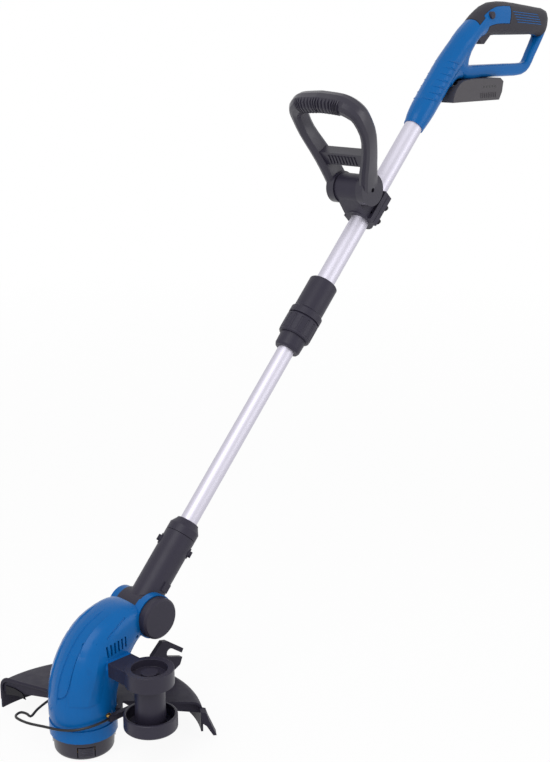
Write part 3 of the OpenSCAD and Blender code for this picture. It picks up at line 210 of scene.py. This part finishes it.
def plastic(
    name, base, rough, swing, grain_mm, grain,
    tone=0.12, patch_mm=70, gloss_mm=11, ior=1.54, sheen=0.0, mirror=0.3,
):
    """A moulded plastic: its tone drifts, its gloss is uneven, and the tool's grain shows as bump."""
    tree, shader, place = blank(name)
    tint(tree, shader, noise(tree, place, patch_mm, 3.0), shade(base, 1 - tone), shade(base, 1 + tone))
    dull(tree, shader, noise(tree, place, gloss_mm, 4.0), rough, swing)
    emboss(tree, shader, noise(tree, place, grain_mm, 2.0), grain, grain_mm * 0.1)
    shader.inputs["IOR"].default_value = ior
    shader.inputs["Specular IOR Level"].default_value = mirror
    shader.inputs["Sheen Weight"].default_value = sheen
    shader.inputs["Sheen Roughness"].default_value = 0.5


def metal(name, base, rough, swing, line_mm, grain, stretch=(1, 1, 1), turn=(0, 0, 0)):
    """A metal with tool marks: a noise, drawn out along one direction, sets its tone, roughness and bump."""
    tree, shader, place = blank(name)
    values = {"Vector": place, "Rotation": turn, "Scale": stretch}
    laid = add(tree, "ShaderNodeMapping", values, vector_type="TEXTURE").outputs["Vector"]
    lines = noise(tree, laid, line_mm, 4.0)
    tint(tree, shader, lines, shade(base, 0.93), shade(base, 1.04))
    dull(tree, shader, lines, rough, swing)
    emboss(tree, shader, lines, grain, 0.05)
    shader.inputs["Metallic"].default_value = 1.0


def make_finishes(tints):
    """All finishes, each named for the real material."""
    # Injection-moulded ABS, polished tool: deep blue, soft gloss, faint orange peel
    plastic(
        "moulded_abs_blue", tints.shell,
        rough=0.25, swing=0.06, grain_mm=1.6, grain=0.10, tone=0.07, mirror=0.14,
    )
    # Glass-filled nylon, spark-eroded tool: charcoal, satin, even fine grain drawn a little coarse to show
    plastic(
        "moulded_nylon_charcoal", tints.fitting,
        rough=0.46, swing=0.07, grain_mm=1.1, grain=0.32, tone=0.10, mirror=0.24,
    )
    # The same nylon from a polished tool: a clear gloss that catches the light on ribs and edges
    plastic(
        "polished_nylon_charcoal", shade(tints.fitting, 0.92),
        rough=0.32, swing=0.04, grain_mm=1.8, grain=0.08, tone=0.06, mirror=0.38,
    )
    # Polypropylene of the wheel: smoother, with slow flow marks
    plastic(
        "moulded_polypropylene_black", tints.fitting,
        rough=0.36, swing=0.08, grain_mm=2.4, grain=0.16, tone=0.16, patch_mm=45, ior=1.49,
    )
    # Polypropylene of the guard: duller and a little darker, scuffed in use
    plastic(
        "scuffed_polypropylene_black", shade(tints.fitting, 0.88),
        rough=0.5, swing=0.12, grain_mm=2.0, grain=0.2, tone=0.2, patch_mm=30, ior=1.49, mirror=0.15,
    )
    # Thermoplastic elastomer overmould: dull, warm dark grey, velvety at grazing angles
    plastic(
        "soft_elastomer_grip", tints.grip,
        rough=0.68, swing=0.06, grain_mm=0.9, grain=0.4, tone=0.08, sheen=0.1, mirror=0.2,
    )
    # Polycarbonate blend of the battery: mid grey, fine grain
    plastic(
        "moulded_polycarbonate_grey", tints.pack,
        rough=0.5, swing=0.06, grain_mm=1.0, grain=0.3, tone=0.08, ior=1.58,
    )
    # Dark lens of the charge lamps
    plastic(
        "smoked_polycarbonate_lens", linear("#141318"),
        rough=0.12, swing=0.03, grain_mm=3.0, grain=0.02, tone=0.05, ior=1.58, mirror=0.5,
    )
    # Nylon monofilament on the spool
    plastic(
        "nylon_monofilament", linear("#C9A23A"), rough=0.3, swing=0.05, grain_mm=1.0, grain=0.05, ior=1.53
    )
    # Black lacquer on the bent wire
    plastic(
        "lacquered_wire_black", linear("#1D1C20"), rough=0.3, swing=0.06, grain_mm=2.0, grain=0.12, tone=0.1
    )
    # Drawn and anodised aluminium: fine lines run along the shaft
    metal(
        "anodised_aluminium", tints.tube,
        rough=0.52, swing=0.05, line_mm=1.6, grain=0.05, stretch=(60, 1, 1), turn=(0, -SHAFT_RISE, 0),
    )
    # Ground steel: marks drawn out upwards
    metal("ground_steel", tints.steel, rough=0.28, swing=0.07, line_mm=0.7, grain=0.15, stretch=(1, 1, 10))
    # Plated, blackened and bare metal: marks in no direction
    metal("yellow_zinc_plate", tints.zinc, rough=0.36, swing=0.08, line_mm=0.9, grain=0.15)
    metal("black_oxide_steel", tints.oxide, rough=0.42, swing=0.08, line_mm=0.9, grain=0.2)
    metal("bare_copper", linear("#B87333"), rough=0.3, swing=0.06, line_mm=0.9, grain=0.1)


# How far the edges of a solid are rounded
SHARP, MOULDED, FINE = range(3)

# Each finish, the rounding of the edges, and the solids that have them
FINISHED = (
    ("moulded_abs_blue", SHARP, ("handle_shell_left", "handle_shell_right", "housing_left", "housing_right")),
    ("moulded_nylon_charcoal", MOULDED, (
        "trigger", "clamp_upper", "clamp_lower", "collar_sleeve", "swivel_ferrule", "swivel_socket",
        "tilt_button",
    )),
    ("moulded_nylon_charcoal", FINE, (
        "lock_off_button", "battery_rail", "battery_latch", "twist_nut", "swivel_button_upper",
        "swivel_button_lower",
    )),
    ("moulded_nylon_charcoal", SHARP, ("micro_switch", "collet", "motor_plate")),
    ("polished_nylon_charcoal", SHARP, ("front_handle",)),
    ("polished_nylon_charcoal", FINE, ("spool_cap",)),
    ("moulded_polypropylene_black", MOULDED, ("wheel_bracket", "edge_wheel")),
    ("moulded_polypropylene_black", FINE, ("wheel_axle", "spool_holder", "spool")),
    ("scuffed_polypropylene_black", SHARP, ("guard",)),
    ("soft_elastomer_grip", SHARP, ("soft_grip",)),
    ("moulded_polycarbonate_grey", MOULDED, ("battery_lower_case",)),
    ("moulded_polycarbonate_grey", FINE, ("battery_upper_case",)),
    ("smoked_polycarbonate_lens", SHARP, ("charge_indicator",)),
    ("nylon_monofilament", SHARP, ("line_winding",)),
    ("lacquered_wire_black", SHARP, ("plant_guard",)),
    ("anodised_aluminium", SHARP, ("upper_tube", "lower_tube")),
    ("ground_steel", SHARP, (
        "trigger_pin", "trigger_spring", "battery_cells", "tilt_pin", "motor_can", "motor_shaft",
        "spool_spring", "line_eyelets",
    )),
    ("ground_steel", FINE, ("handle_pivot_bolt",)),
    ("yellow_zinc_plate", SHARP, ("handle_screws", "housing_screws", "guard_screws")),
    ("black_oxide_steel", FINE, ("clamp_screws",)),
    ("black_oxide_steel", SHARP, ("line_cutter",)),
    ("bare_copper", SHARP, ("battery_contacts",)),
)
LOOKS = {node: (finish, rounding) for finish, rounding, nodes in FINISHED for node in nodes}

# Solids made of flat facets, which need smooth normals
FACETED = {
    "handle_shell_left", "handle_shell_right", "soft_grip", "front_handle", "housing_left", "housing_right",
    "guard", "plant_guard", "trigger_spring", "spool_spring",
}

# Ribbed solids whose ribs stay crisp, with the angle in degrees that counts as an edge
CRISP = {"front_handle": 17}


def link(bm, name, finish):
    """A new object from a bmesh, at the origin, with one finish."""
    mesh = bpy.data.meshes.new(name)
    bm.to_mesh(mesh)
    bm.free()
    made = bpy.data.objects.new(name, mesh)
    bpy.context.scene.collection.objects.link(made)
    mesh.materials.append(FINISHES[finish])
    return made


def put(made, body, *replaced, slot=None):
    """Let a piece ride on a body and stand for the solids it replaces; the slot is not used."""
    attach(made, body)
    if replaced:
        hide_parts(*replaced)
    return made


def soften(bm, degrees):
    """Smooth faces, with edges sharper than an angle kept as edges."""
    limit = math.radians(degrees)
    for face in bm.faces:
        face.smooth = True
    for edge in bm.edges:
        edge.smooth = len(edge.link_faces) == 2 and edge.calc_face_angle(math.pi) < limit


def round_edges(made, width):
    """Round the sharp edges of a piece."""
    rounding = made.modifiers.new("rounded_edges", "BEVEL")
    rounding.width = width
    rounding.segments = 2
    rounding.limit_method = "ANGLE"
    rounding.angle_limit = math.radians(38)
    rounding.harden_normals = True
    made.modifiers.new("joined_corners", "WELD").merge_threshold = WELD


def dress(node, sizes):
    """Give a solid its finish: rounded and faceted ones get a copy, the others keep their own mesh."""
    finish, rounding = LOOKS[node]
    source = NODES[node]
    if rounding == SHARP and node not in FACETED:
        source.data.materials.clear()
        source.data.materials.append(FINISHES[finish])
        return source
    bm = bmesh.new()
    bm.from_mesh(source.data)
    bmesh.ops.remove_doubles(bm, verts=bm.verts, dist=MERGE)
    if rounding != SHARP:
        bmesh.ops.dissolve_limit(bm, angle_limit=math.radians(0.5), verts=bm.verts, edges=bm.edges)
        bmesh.ops.dissolve_degenerate(bm, dist=SLIVER, edges=bm.edges)
    soften(bm, CRISP.get(node, FACET_EDGE if node in FACETED else MOULDED_EDGE))
    made = link(bm, node + ".finished", finish)
    if rounding != SHARP:
        round_edges(made, sizes.edge if rounding == MOULDED else sizes.fine_edge)
    return put(made, source["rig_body"], node)


def skin(*nodes):
    """The surfaces of some solids, as a tree to set small pieces on."""
    bm = bmesh.new()
    for node in nodes:
        bm.from_mesh(NODES[node].data)
    tree = BVHTree.FromBMesh(bm)
    bm.free()
    return tree


def landed(tree, start, aim, lift=0.0):
    """Where a ray meets a surface, lifted off it, in metres. The start and the lift are in millimetres."""
    hit, normal, _, _ = tree.ray_cast(Vector(start) * MM, Vector(aim).normalized())
    if hit is None:
        raise RuntimeError("a small piece misses the surface that carries it")
    return hit + normal * lift * MM


def smooth_path(points, steps=6):
    """A rounder path through some points."""
    ends = [points[0], *points, points[-1]]
    path = []
    for a, b, c, d in zip(ends, ends[1:], ends[2:], ends[3:]):
        bend = 2 * a - 5 * b + 4 * c - d
        twist = 3 * b - 3 * c + d - a
        for t in (i / steps for i in range(steps)):
            path.append((2 * b + (c - a) * t + bend * t**2 + twist * t**3) / 2)
    return path + [points[-1]]


def upright(heading):
    """The turn that takes the upward direction to a heading."""
    return UP.rotation_difference(heading).to_matrix().to_4x4()


def sweep(bm, path, radius, sides=8):
    """Add a round bar with closed ends along a path."""
    heading = (path[1] - path[0]).normalized()
    start = Matrix.Translation(path[0]) @ upright(heading)
    ring = bmesh.ops.create_circle(bm, cap_ends=True, segments=sides, radius=radius, matrix=start)["verts"]
    made = list(ring)
    edges = list({edge for vert in ring for edge in vert.link_edges})
    for i in range(1, len(path)):
        after = (path[min(i + 1, len(path) - 1)] - path[i - 1]).normalized()
        grown = bmesh.ops.extrude_edge_only(bm, edges=edges)["geom"]
        ring = [g for g in grown if isinstance(g, bmesh.types.BMVert)]
        inside = set(ring)
        edges = [g for g in grown if isinstance(g, bmesh.types.BMEdge) and inside.issuperset(g.verts)]
        turn = heading.rotation_difference(after).to_matrix().to_4x4()
        move = Matrix.Translation(path[i]) @ turn @ Matrix.Translation(-path[i - 1])
        bmesh.ops.transform(bm, matrix=move, verts=ring)
        made += ring
        heading = after
    bmesh.ops.edgeloop_fill(bm, edges=edges)
    bmesh.ops.recalc_face_normals(bm, faces=list({face for vert in made for face in vert.link_faces}))


def stud(bm, foot, top, depth, place):
    """Add a low round cone, with its radii and depth in millimetres."""
    bmesh.ops.create_cone(
        bm, cap_ends=True, segments=24, radius1=foot * MM, radius2=top * MM, depth=depth * MM, matrix=place
    )


def carve(made, bm):
    """Cut a shape out of a finished piece."""
    tool = link(bm, made.name + ".tool", made.data.materials[0].name)
    cut = made.modifiers.new("carved", "BOOLEAN")
    cut.object = tool
    cut.solver = "EXACT"
    shape = bpy.data.meshes.new_from_object(made.evaluated_get(bpy.context.evaluated_depsgraph_get()))
    made.modifiers.remove(cut)
    bpy.data.objects.remove(tool)
    whole = bmesh.new()
    whole.from_mesh(shape)
    bmesh.ops.remove_doubles(whole, verts=whole.verts, dist=MERGE)
    soften(whole, FACET_EDGE)
    whole.to_mesh(made.data)
    whole.free()
    bpy.data.meshes.remove(shape)


class Dressing:
    """A step that finishes some solids and then adds their small mouldings."""

    solids = ()

    def execute(self, context):
        sizes = context.scene.trimmer_sizes
        made = {node: dress(node, sizes) for node in self.solids}
        self.mould(made, sizes)
        return {"FINISHED"}

    def mould(self, made, sizes):
        """A step without small mouldings adds nothing."""


class TRIMMER_OT_rear_handle(Dressing, bpy.types.Operator):
    """Finish the rear handle's shells, soft grip and screws"""

    bl_idname = "trimmer.rear_handle"
    bl_label = "Rear Handle"
    solids = ("handle_shell_left", "handle_shell_right", "soft_grip", "handle_screws")

    # Ends of the uppermost line, the steps to the next one, and a distance clear of the grip, in millimetres
    front, front_step = Vector((792, 0, 837.5)), Vector((3, 0, -3.6))
    rear, rear_step = Vector((856, 0, 833.2)), Vector((2.5, 0, -3.4))
    clear = Vector((0, 60, 0))
    parts = 12

    def mould(self, made, sizes):
        """Thin blue lines that stand out of the soft grip on both sides."""
        tree = skin("soft_grip", "handle_shell_left", "handle_shell_right")
        bm = bmesh.new()
        for side in (-1, 1):
            for i in range(sizes.grip_ribs):
                front = self.front + self.front_step * i + self.clear * side
                rear = self.rear + self.rear_step * i + self.clear * side
                starts = [front.lerp(rear, k / self.parts) for k in range(self.parts + 1)]
                sweep(bm, [landed(tree, start, (0, -side, 0)) for start in starts], sizes.grip_rib)
        soften(bm, BAR_EDGE)
        put(link(bm, "grip_lines", "moulded_abs_blue"), "handle", slot="handle_shell_left")


class TRIMMER_OT_trigger(Dressing, bpy.types.Operator):
    """Finish the trigger, its pin and spring, the switch and the lock-off button"""

    bl_idname = "trimmer.trigger"
    bl_label = "Trigger and Lock"
    solids = ("trigger", "trigger_pin", "trigger_spring", "micro_switch", "lock_off_button")


class TRIMMER_OT_battery(Dressing, bpy.types.Operator):
    """Finish the battery and its rail"""

    bl_idname = "trimmer.battery"
    bl_label = "Battery"
    solids = (
        "battery_rail", "battery_contacts", "battery_lower_case", "battery_upper_case", "battery_cells",
        "battery_latch", "charge_indicator",
    )


class TRIMMER_OT_shaft(Dressing, bpy.types.Operator):
    """Finish the two tubes, the collar, the nut and the collet"""

    bl_idname = "trimmer.shaft"
    bl_label = "Telescopic Shaft"
    solids = ("upper_tube", "lower_tube", "collar_sleeve", "twist_nut", "collet")


class TRIMMER_OT_front_handle(Dressing, bpy.types.Operator):
    """Finish the front handle and its clamp"""

    bl_idname = "trimmer.front_handle"
    bl_label = "Front Handle"
    solids = ("front_handle", "clamp_upper", "clamp_lower", "clamp_screws", "handle_pivot_bolt")


class TRIMMER_OT_swivel(Dressing, bpy.types.Operator):
    """Finish the swivel socket, its buttons and the tilt joint"""

    bl_idname = "trimmer.swivel"
    bl_label = "Swivel and Tilt"
    solids = (
        "swivel_ferrule", "swivel_socket", "swivel_button_upper", "swivel_button_lower", "tilt_pin",
        "tilt_button",
    )


class TRIMMER_OT_housing(Dressing, bpy.types.Operator):
    """Finish the motor housing and the motor"""

    bl_idname = "trimmer.housing"
    bl_label = "Motor Housing"
    solids = ("housing_left", "housing_right", "housing_screws", "motor_plate", "motor_can", "motor_shaft")

    # The groove that borders the hood's front, from the top, and the crease above the vents, in millimetres
    border_radius, border = 1.2, (
        (-6.2, -14.3, 139.3), (-14.3, -16.8, 130.7), (-21.3, -17.8, 118.9), (-27.2, -18.3, 106.4),
        (-31.9, -18.0, 93.1), (-33.8, -14.4, 83.8), (-36.1, -9.8, 79.4), (-37.7, -3.4, 77.4),
    )
    crease_radius, crease = 0.9, (
        (15.8, -30.1, 142), (23.3, -29.6, 147.3), (33.0, -28.9, 152.5), (45.3, -26.9, 158.1),
    )

    # The hood's raised front, in millimetres: its edge at the groove, its ridge and its side, from the top
    panel_edge = ((-14.3, -16.8, 130.7), (-27.2, -18.3, 106.4), (-33.5, -18.0, 72))
    panel_ridge = ((3.1, -30.9, 129.4), (-7.5, -34.6, 101.2), (-19.6, -34.2, 72))
    panel_side = ((13, -33.0, 122), (8, -36.0, 98), (0, -37.0, 72))
    panel_out = Vector((-0.62, -0.76, 0.2)).normalized()
    panel_clear, panel_lift, panel_sink, panel_thick = 40, 2.0, 0.25, 1.5
    panel_climb = 0.35  # share of the length over which it rises out of the hood
    panel_start = 0.45  # share of the lift at the groove

    # Near screw bores, seen from the side, and their plugs, in millimetres, with four directions round a bore
    bores = ((2, 140), (-12, 111))
    bore_clear, bore_round = -80, 4
    plug_foot, plug_top, plug_depth, plug_sunk = 2.6, 2.3, 2, 0.75
    quarters = (0.5, 2.07, 3.64, 5.21)

    def mould(self, made, sizes):
        tree = skin("housing_left")
        self.grooves(tree, made["housing_left"])
        self.panel(tree)
        self.plugs(tree)

    def grooves(self, tree, left):
        """The groove round the hood's front and the crease above the vents."""
        for route, radius in ((self.border, self.border_radius), (self.crease, self.crease_radius)):
            path = smooth_path([Vector(p) * MM for p in route])
            bm = bmesh.new()
            sweep(bm, [tree.find_nearest(p)[0] for p in path], radius * MM)
            carve(left, bm)

    def lift(self, across, down):
        """How far the raised front stands off the hood: most along its ridge, least at its top and side."""
        if across < 0.5:
            share = self.panel_start + 2 * (1 - self.panel_start) * across
        else:
            share = 2 - 2 * across
        return self.panel_lift * share * min(1, down / self.panel_climb) - self.panel_sink

    def panel(self, tree):
        """The hood's raised front: it climbs from the groove to a soft ridge and ends in a step."""
        out = self.panel_out
        routes = (self.panel_edge, self.panel_ridge, self.panel_side)
        curves = [[Vector(p) for p in route] for route in routes]
        bm = bmesh.new()
        bmesh.ops.create_grid(bm, x_segments=14, y_segments=16, size=1)
        crest = set()
        for vert in bm.verts:
            u, v = (vert.co.x + 1) / 2, (vert.co.y + 1) / 2
            edge, ridge, side = (
                a * (1 - v) * (1 - 2 * v) + b * 4 * v * (1 - v) + c * v * (2 * v - 1) for a, b, c in curves
            )
            place = edge.lerp(ridge, 2 * u) if u < 0.5 else ridge.lerp(side, 2 * u - 1)
            if abs(u - 0.5) < 0.01:
                crest.add(vert)
            vert.co = landed(tree, place + out * self.panel_clear, -out, self.lift(u, v))
        under = bmesh.ops.extrude_face_region(bm, geom=bm.faces[:], use_keep_orig=True)["geom"]
        sunk = [g for g in under if isinstance(g, bmesh.types.BMVert)]
        bmesh.ops.translate(bm, verts=sunk, vec=out * -self.panel_thick * MM)
        bmesh.ops.recalc_face_normals(bm, faces=bm.faces)
        soften(bm, FACET_EDGE)
        for edge in bm.edges:
            if crest.issuperset(edge.verts):
                edge.smooth = False
        put(link(bm, "hood_panel", "moulded_abs_blue"), "head", slot="housing_left")

    def plugs(self, tree):
        """Flush plugs that close the screw bores on the near side."""
        bm = bmesh.new()
        for x, z in self.bores:
            ring = [(self.bore_round * math.cos(a), self.bore_round * math.sin(a)) for a in self.quarters]
            spots = [landed(tree, (x + dx, self.bore_clear, z + dz), (0, 1, 0)) for dx, dz in ring]
            normal = (spots[0] - spots[2]).cross(spots[1] - spots[3]).normalized()
            if normal.y > 0:
                normal.negate()
            middle = sum(spots, Vector()) / len(spots) - normal * self.plug_sunk * MM
            place = Matrix.Translation(middle) @ upright(normal)
            stud(bm, self.plug_foot, self.plug_top, self.plug_depth, place)
        soften(bm, FACET_EDGE)
        put(link(bm, "hood_plugs", "moulded_abs_blue"), "head", slot="housing_left")


class TRIMMER_OT_line_head(Dressing, bpy.types.Operator):
    """Finish the spool, its holder, spring, cap and eyelets"""

    bl_idname = "trimmer.line_head"
    bl_label = "Line Head"
    solids = ("spool_holder", "spool", "line_winding", "spool_spring", "spool_cap", "line_eyelets")

    # Where the release tabs lie, how far their ribs reach and a rib's step, in degrees
    tabs, half_reach, step = (236, 56), 12, 3
    # Heights of the ribs, half their width, and a distance clear of the cap, in millimetres
    levels, half_rib, clear = (6.6, 8.8, 11.0, 13.2, 15.4), 0.55, 60

    def mould(self, made, sizes):
        """Ribs for the fingers on the cap's two release tabs."""
        tree = skin("spool_cap")
        bm = bmesh.new()
        for tab in self.tabs:
            turns = range(tab - self.half_reach, tab + self.half_reach + 1, self.step)
            ways = [Vector((math.cos(a), math.sin(a), 0)) for a in map(math.radians, turns)]
            for level in self.levels:
                path = [landed(tree, out * self.clear + UP * level, -out) for out in ways]
                sweep(bm, path, self.half_rib * MM)
        soften(bm, BAR_EDGE)
        put(link(bm, "cap_tab_ribs", "polished_nylon_charcoal"), "line_head", slot="spool_cap")


class TRIMMER_OT_guard(Dressing, bpy.types.Operator):
    """Finish the guard, its cutter and screws, and the plant guard's wire"""

    bl_idname = "trimmer.guard"
    bl_label = "Guards"
    solids = ("guard", "guard_screws", "line_cutter", "plant_guard")

    # The far end's rim as distances from the spool's axis and heights in millimetres, and its turn in degrees
    rim_turn, rim_radius = 97.2, 2.1
    rim_roof = ((56, 53.4), (92, 49.3), (126, 45.4))
    rim_bend, bend_radius, bend_turns = (128, 32), 13, range(84, -1, -14)
    rim_skirt = ((141, 24), (141, 16))

    # The near arm's screw and the bars of its cross recess, in millimetres, and the recess's turn in radians
    screw_place = (5.0, -40.6, 54.4)
    screw_foot, screw_top, screw_depth = 3.4, 2.9, 2.4
    recess, recess_turn = Vector((3.8, 0.8, 2)), 0.4

    def mould(self, made, sizes):
        self.rim()
        self.arm_screw()

    def rim(self):
        """A rolled rim along the guard's far end."""
        middle, height = self.rim_bend
        ways = [(math.cos(a), math.sin(a)) for a in map(math.radians, self.bend_turns)]
        bend = [(middle + self.bend_radius * c, height + self.bend_radius * s) for c, s in ways]
        turn = math.radians(self.rim_turn)
        route = [*self.rim_roof, *bend, *self.rim_skirt]
        path = [Vector((r * math.cos(turn), r * math.sin(turn), z)) * MM for r, z in route]
        bm = bmesh.new()
        sweep(bm, path, self.rim_radius * MM, sides=12)
        soften(bm, BAR_EDGE)
        put(link(bm, "guard_end_rim", "scuffed_polypropylene_black"), "head", slot="guard")

    def arm_screw(self):
        """A cross-headed screw on the guard's near arm."""
        place = Matrix.Translation(Vector(self.screw_place) * MM)
        bm = bmesh.new()
        stud(bm, self.screw_foot, self.screw_top, self.screw_depth, place)
        made = link(bm, "guard_arm_screw", "yellow_zinc_plate")
        head = place @ Matrix.Translation(UP * self.screw_depth / 2 * MM)
        for turn in (self.recess_turn, self.recess_turn + math.pi / 2):
            bm = bmesh.new()
            shape = Matrix.Rotation(turn, 4, "Z") @ Matrix.Diagonal((*(self.recess * MM), 1))
            bmesh.ops.create_cube(bm, size=1, matrix=head @ shape)
            carve(made, bm)
        put(made, "head", slot="guard_screws")


class TRIMMER_OT_edge_wheel(Dressing, bpy.types.Operator):
    """Finish the edge wheel and its bracket"""

    bl_idname = "trimmer.edge_wheel"
    bl_label = "Edge Wheel"
    solids = ("wheel_bracket", "wheel_axle", "edge_wheel")


class TRIMMER_OT_stage(bpy.types.Operator):
    """Set the camera, the lamps, the room and the paper floor"""

    bl_idname = "trimmer.stage"
    bl_label = "Studio"

    # Where the viewer stands in metres, and looks in degrees below the horizon and right of the y axis
    viewer, look_down, look_right = (-0.8515, -1.1375, 0.8306), 15.31, 45.92
    # Places and sizes of the lamps, and the spot they shine on, in metres
    key_place, key_size = (-1.4, -0.6, 2.1), 1.6
    fill_place, fill_size = (1.3, -1.9, 0.9), 1.2
    lit_spot = Vector((0.4, 0, 0.4))
    # Half the floor's width, its distance below the trimmer, and where it starts and ends to fade, in metres
    floor_half, floor_gap, fade_from, fade_to = 12, 0.0005, 1.0, 3.0

    def execute(self, context):
        scene = context.scene
        stage = scene.trimmer_stage
        scene.view_settings.view_transform = "Standard"
        self.camera(scene, stage)
        self.lamp(scene, "key_lamp", stage.key, self.key_size, self.key_place)
        self.lamp(scene, "fill_lamp", stage.fill, self.fill_size, self.fill_place)
        self.room(scene, stage)
        self.floor(scene, stage)
        return {"FINISHED"}

    def camera(self, scene, stage):
        """The camera of the photograph, fitted to the shaft and the handles."""
        data = bpy.data.cameras.new("viewer")
        data.lens = stage.lens
        data.sensor_width = 36
        data.clip_end = 50
        made = bpy.data.objects.new("viewer", data)
        scene.collection.objects.link(made)
        made.location = self.viewer
        made.rotation_euler = (math.radians(90 - self.look_down), 0, math.radians(-self.look_right))
        scene.camera = made

    def lamp(self, scene, name, power, size, place):
        """A soft lamp that shines on the trimmer."""
        data = bpy.data.lights.new(name, "AREA")
        data.energy = power
        data.size = size
        made = bpy.data.objects.new(name, data)
        scene.collection.objects.link(made)
        made.location = place
        made.rotation_euler = (self.lit_spot - Vector(place)).to_track_quat("-Z", "Y").to_euler()

    def seen(self, tree):
        """One for rays that show a surface: from the camera, in a gloss or through glass."""
        ray = add(tree, "ShaderNodeLightPath").outputs
        seen = ray["Is Camera Ray"]
        for kind in ("Is Glossy Ray", "Is Transmission Ray"):
            seen = add(tree, "ShaderNodeMath", {0: seen, 1: ray[kind]}, operation="MAXIMUM").outputs[0]
        return seen

    def room(self, scene, stage):
        """White to the camera and in reflections, softer as light."""
        world = bpy.data.worlds.new("studio_room")
        world.use_nodes = True
        tree = world.node_tree
        tree.nodes.clear()
        light = add(tree, "ShaderNodeBackground", {"Color": WHITE, "Strength": stage.world})
        white = add(tree, "ShaderNodeBackground", {"Color": WHITE, "Strength": 1.0})
        values = {0: self.seen(tree), 1: light.outputs[0], 2: white.outputs[0]}
        mixed = add(tree, "ShaderNodeMixShader", values)
        add(tree, "ShaderNodeOutputWorld", {"Surface": mixed.outputs[0]})
        scene.world = world

    def paper(self, scene, stage):
        """Pale paper that keeps the shadow and fades to white in the distance."""
        made = bpy.data.materials.new("studio_paper")
        made.use_nodes = True
        tree = made.node_tree
        shader = tree.nodes["Principled BSDF"]
        shader.inputs["Base Color"].default_value = list(scene.trimmer_colours.floor)
        shader.inputs["Roughness"].default_value = 0.9
        shader.inputs["Specular IOR Level"].default_value = 0.1
        glow = add(tree, "ShaderNodeEmission", {"Color": WHITE, "Strength": 1.0})
        place = add(tree, "ShaderNodeTexCoord").outputs["Object"]
        away = add(tree, "ShaderNodeVectorMath", {0: place}, operation="LENGTH").outputs["Value"]
        values = {"Value": away, "From Min": self.fade_from, "From Max": self.fade_to}
        share = add(tree, "ShaderNodeMapRange", {**values, "To Min": stage.paper, "To Max": 1.0})
        values = {0: self.seen(tree), 1: share.outputs["Result"]}
        part = add(tree, "ShaderNodeMath", values, operation="MULTIPLY")
        values = {0: part.outputs[0], 1: shader.outputs[0], 2: glow.outputs[0]}
        mixed = add(tree, "ShaderNodeMixShader", values)
        tree.links.new(mixed.outputs[0], tree.nodes["Material Output"].inputs["Surface"])
        return made

    def floor(self, scene, stage):
        """A wide sheet of paper just below the trimmer."""
        bm = bmesh.new()
        bmesh.ops.create_grid(bm, x_segments=2, y_segments=2, size=self.floor_half)
        bmesh.ops.translate(bm, verts=bm.verts, vec=(0, 0, -self.floor_gap))
        mesh = bpy.data.meshes.new("paper_floor")
        bm.to_mesh(mesh)
        bm.free()
        mesh.materials.append(self.paper(scene, stage))
        made = bpy.data.objects.new("paper_floor", mesh)
        scene.collection.objects.link(made)


class TRIMMER_PT_sidebar(bpy.types.Panel):
    """The trimmer's pieces, sizes and colours"""

    bl_idname = "TRIMMER_PT_sidebar"
    bl_label = "Grass Trimmer"
    bl_space_type = "VIEW_3D"
    bl_region_type = "UI"
    bl_category = "Trimmer"

    def draw(self, context):
        column = self.layout.column()
        for step in STEPS:
            column.operator(step.bl_idname)
        for name in GROUPS:
            group = getattr(context.scene, name)
            for key in group.__annotations__:
                column.prop(group, key)


STEPS = (
    TRIMMER_OT_stage, TRIMMER_OT_rear_handle, TRIMMER_OT_trigger, TRIMMER_OT_battery, TRIMMER_OT_shaft,
    TRIMMER_OT_front_handle, TRIMMER_OT_swivel, TRIMMER_OT_housing, TRIMMER_OT_line_head, TRIMMER_OT_guard,
    TRIMMER_OT_edge_wheel,
)
GROUPS = {"trimmer_colours": TrimmerColours, "trimmer_sizes": TrimmerSizes, "trimmer_stage": TrimmerStage}
CLASSES = (*GROUPS.values(), *STEPS, TRIMMER_PT_sidebar)


def register():
    for kind in CLASSES:
        bpy.utils.register_class(kind)
    for name, group in GROUPS.items():
        setattr(bpy.types.Scene, name, PointerProperty(type=group))


def unregister():
    for name in GROUPS:
        delattr(bpy.types.Scene, name)
    for kind in reversed(CLASSES):
        bpy.utils.unregister_class(kind)


def main():
    """Make the finishes and run every step."""
    register()
    make_finishes(bpy.context.scene.trimmer_colours)
    for step in STEPS:
        group, name = step.bl_idname.split(".")
        getattr(getattr(bpy.ops, group), name)()


if __name__ == "__main__":
    main()
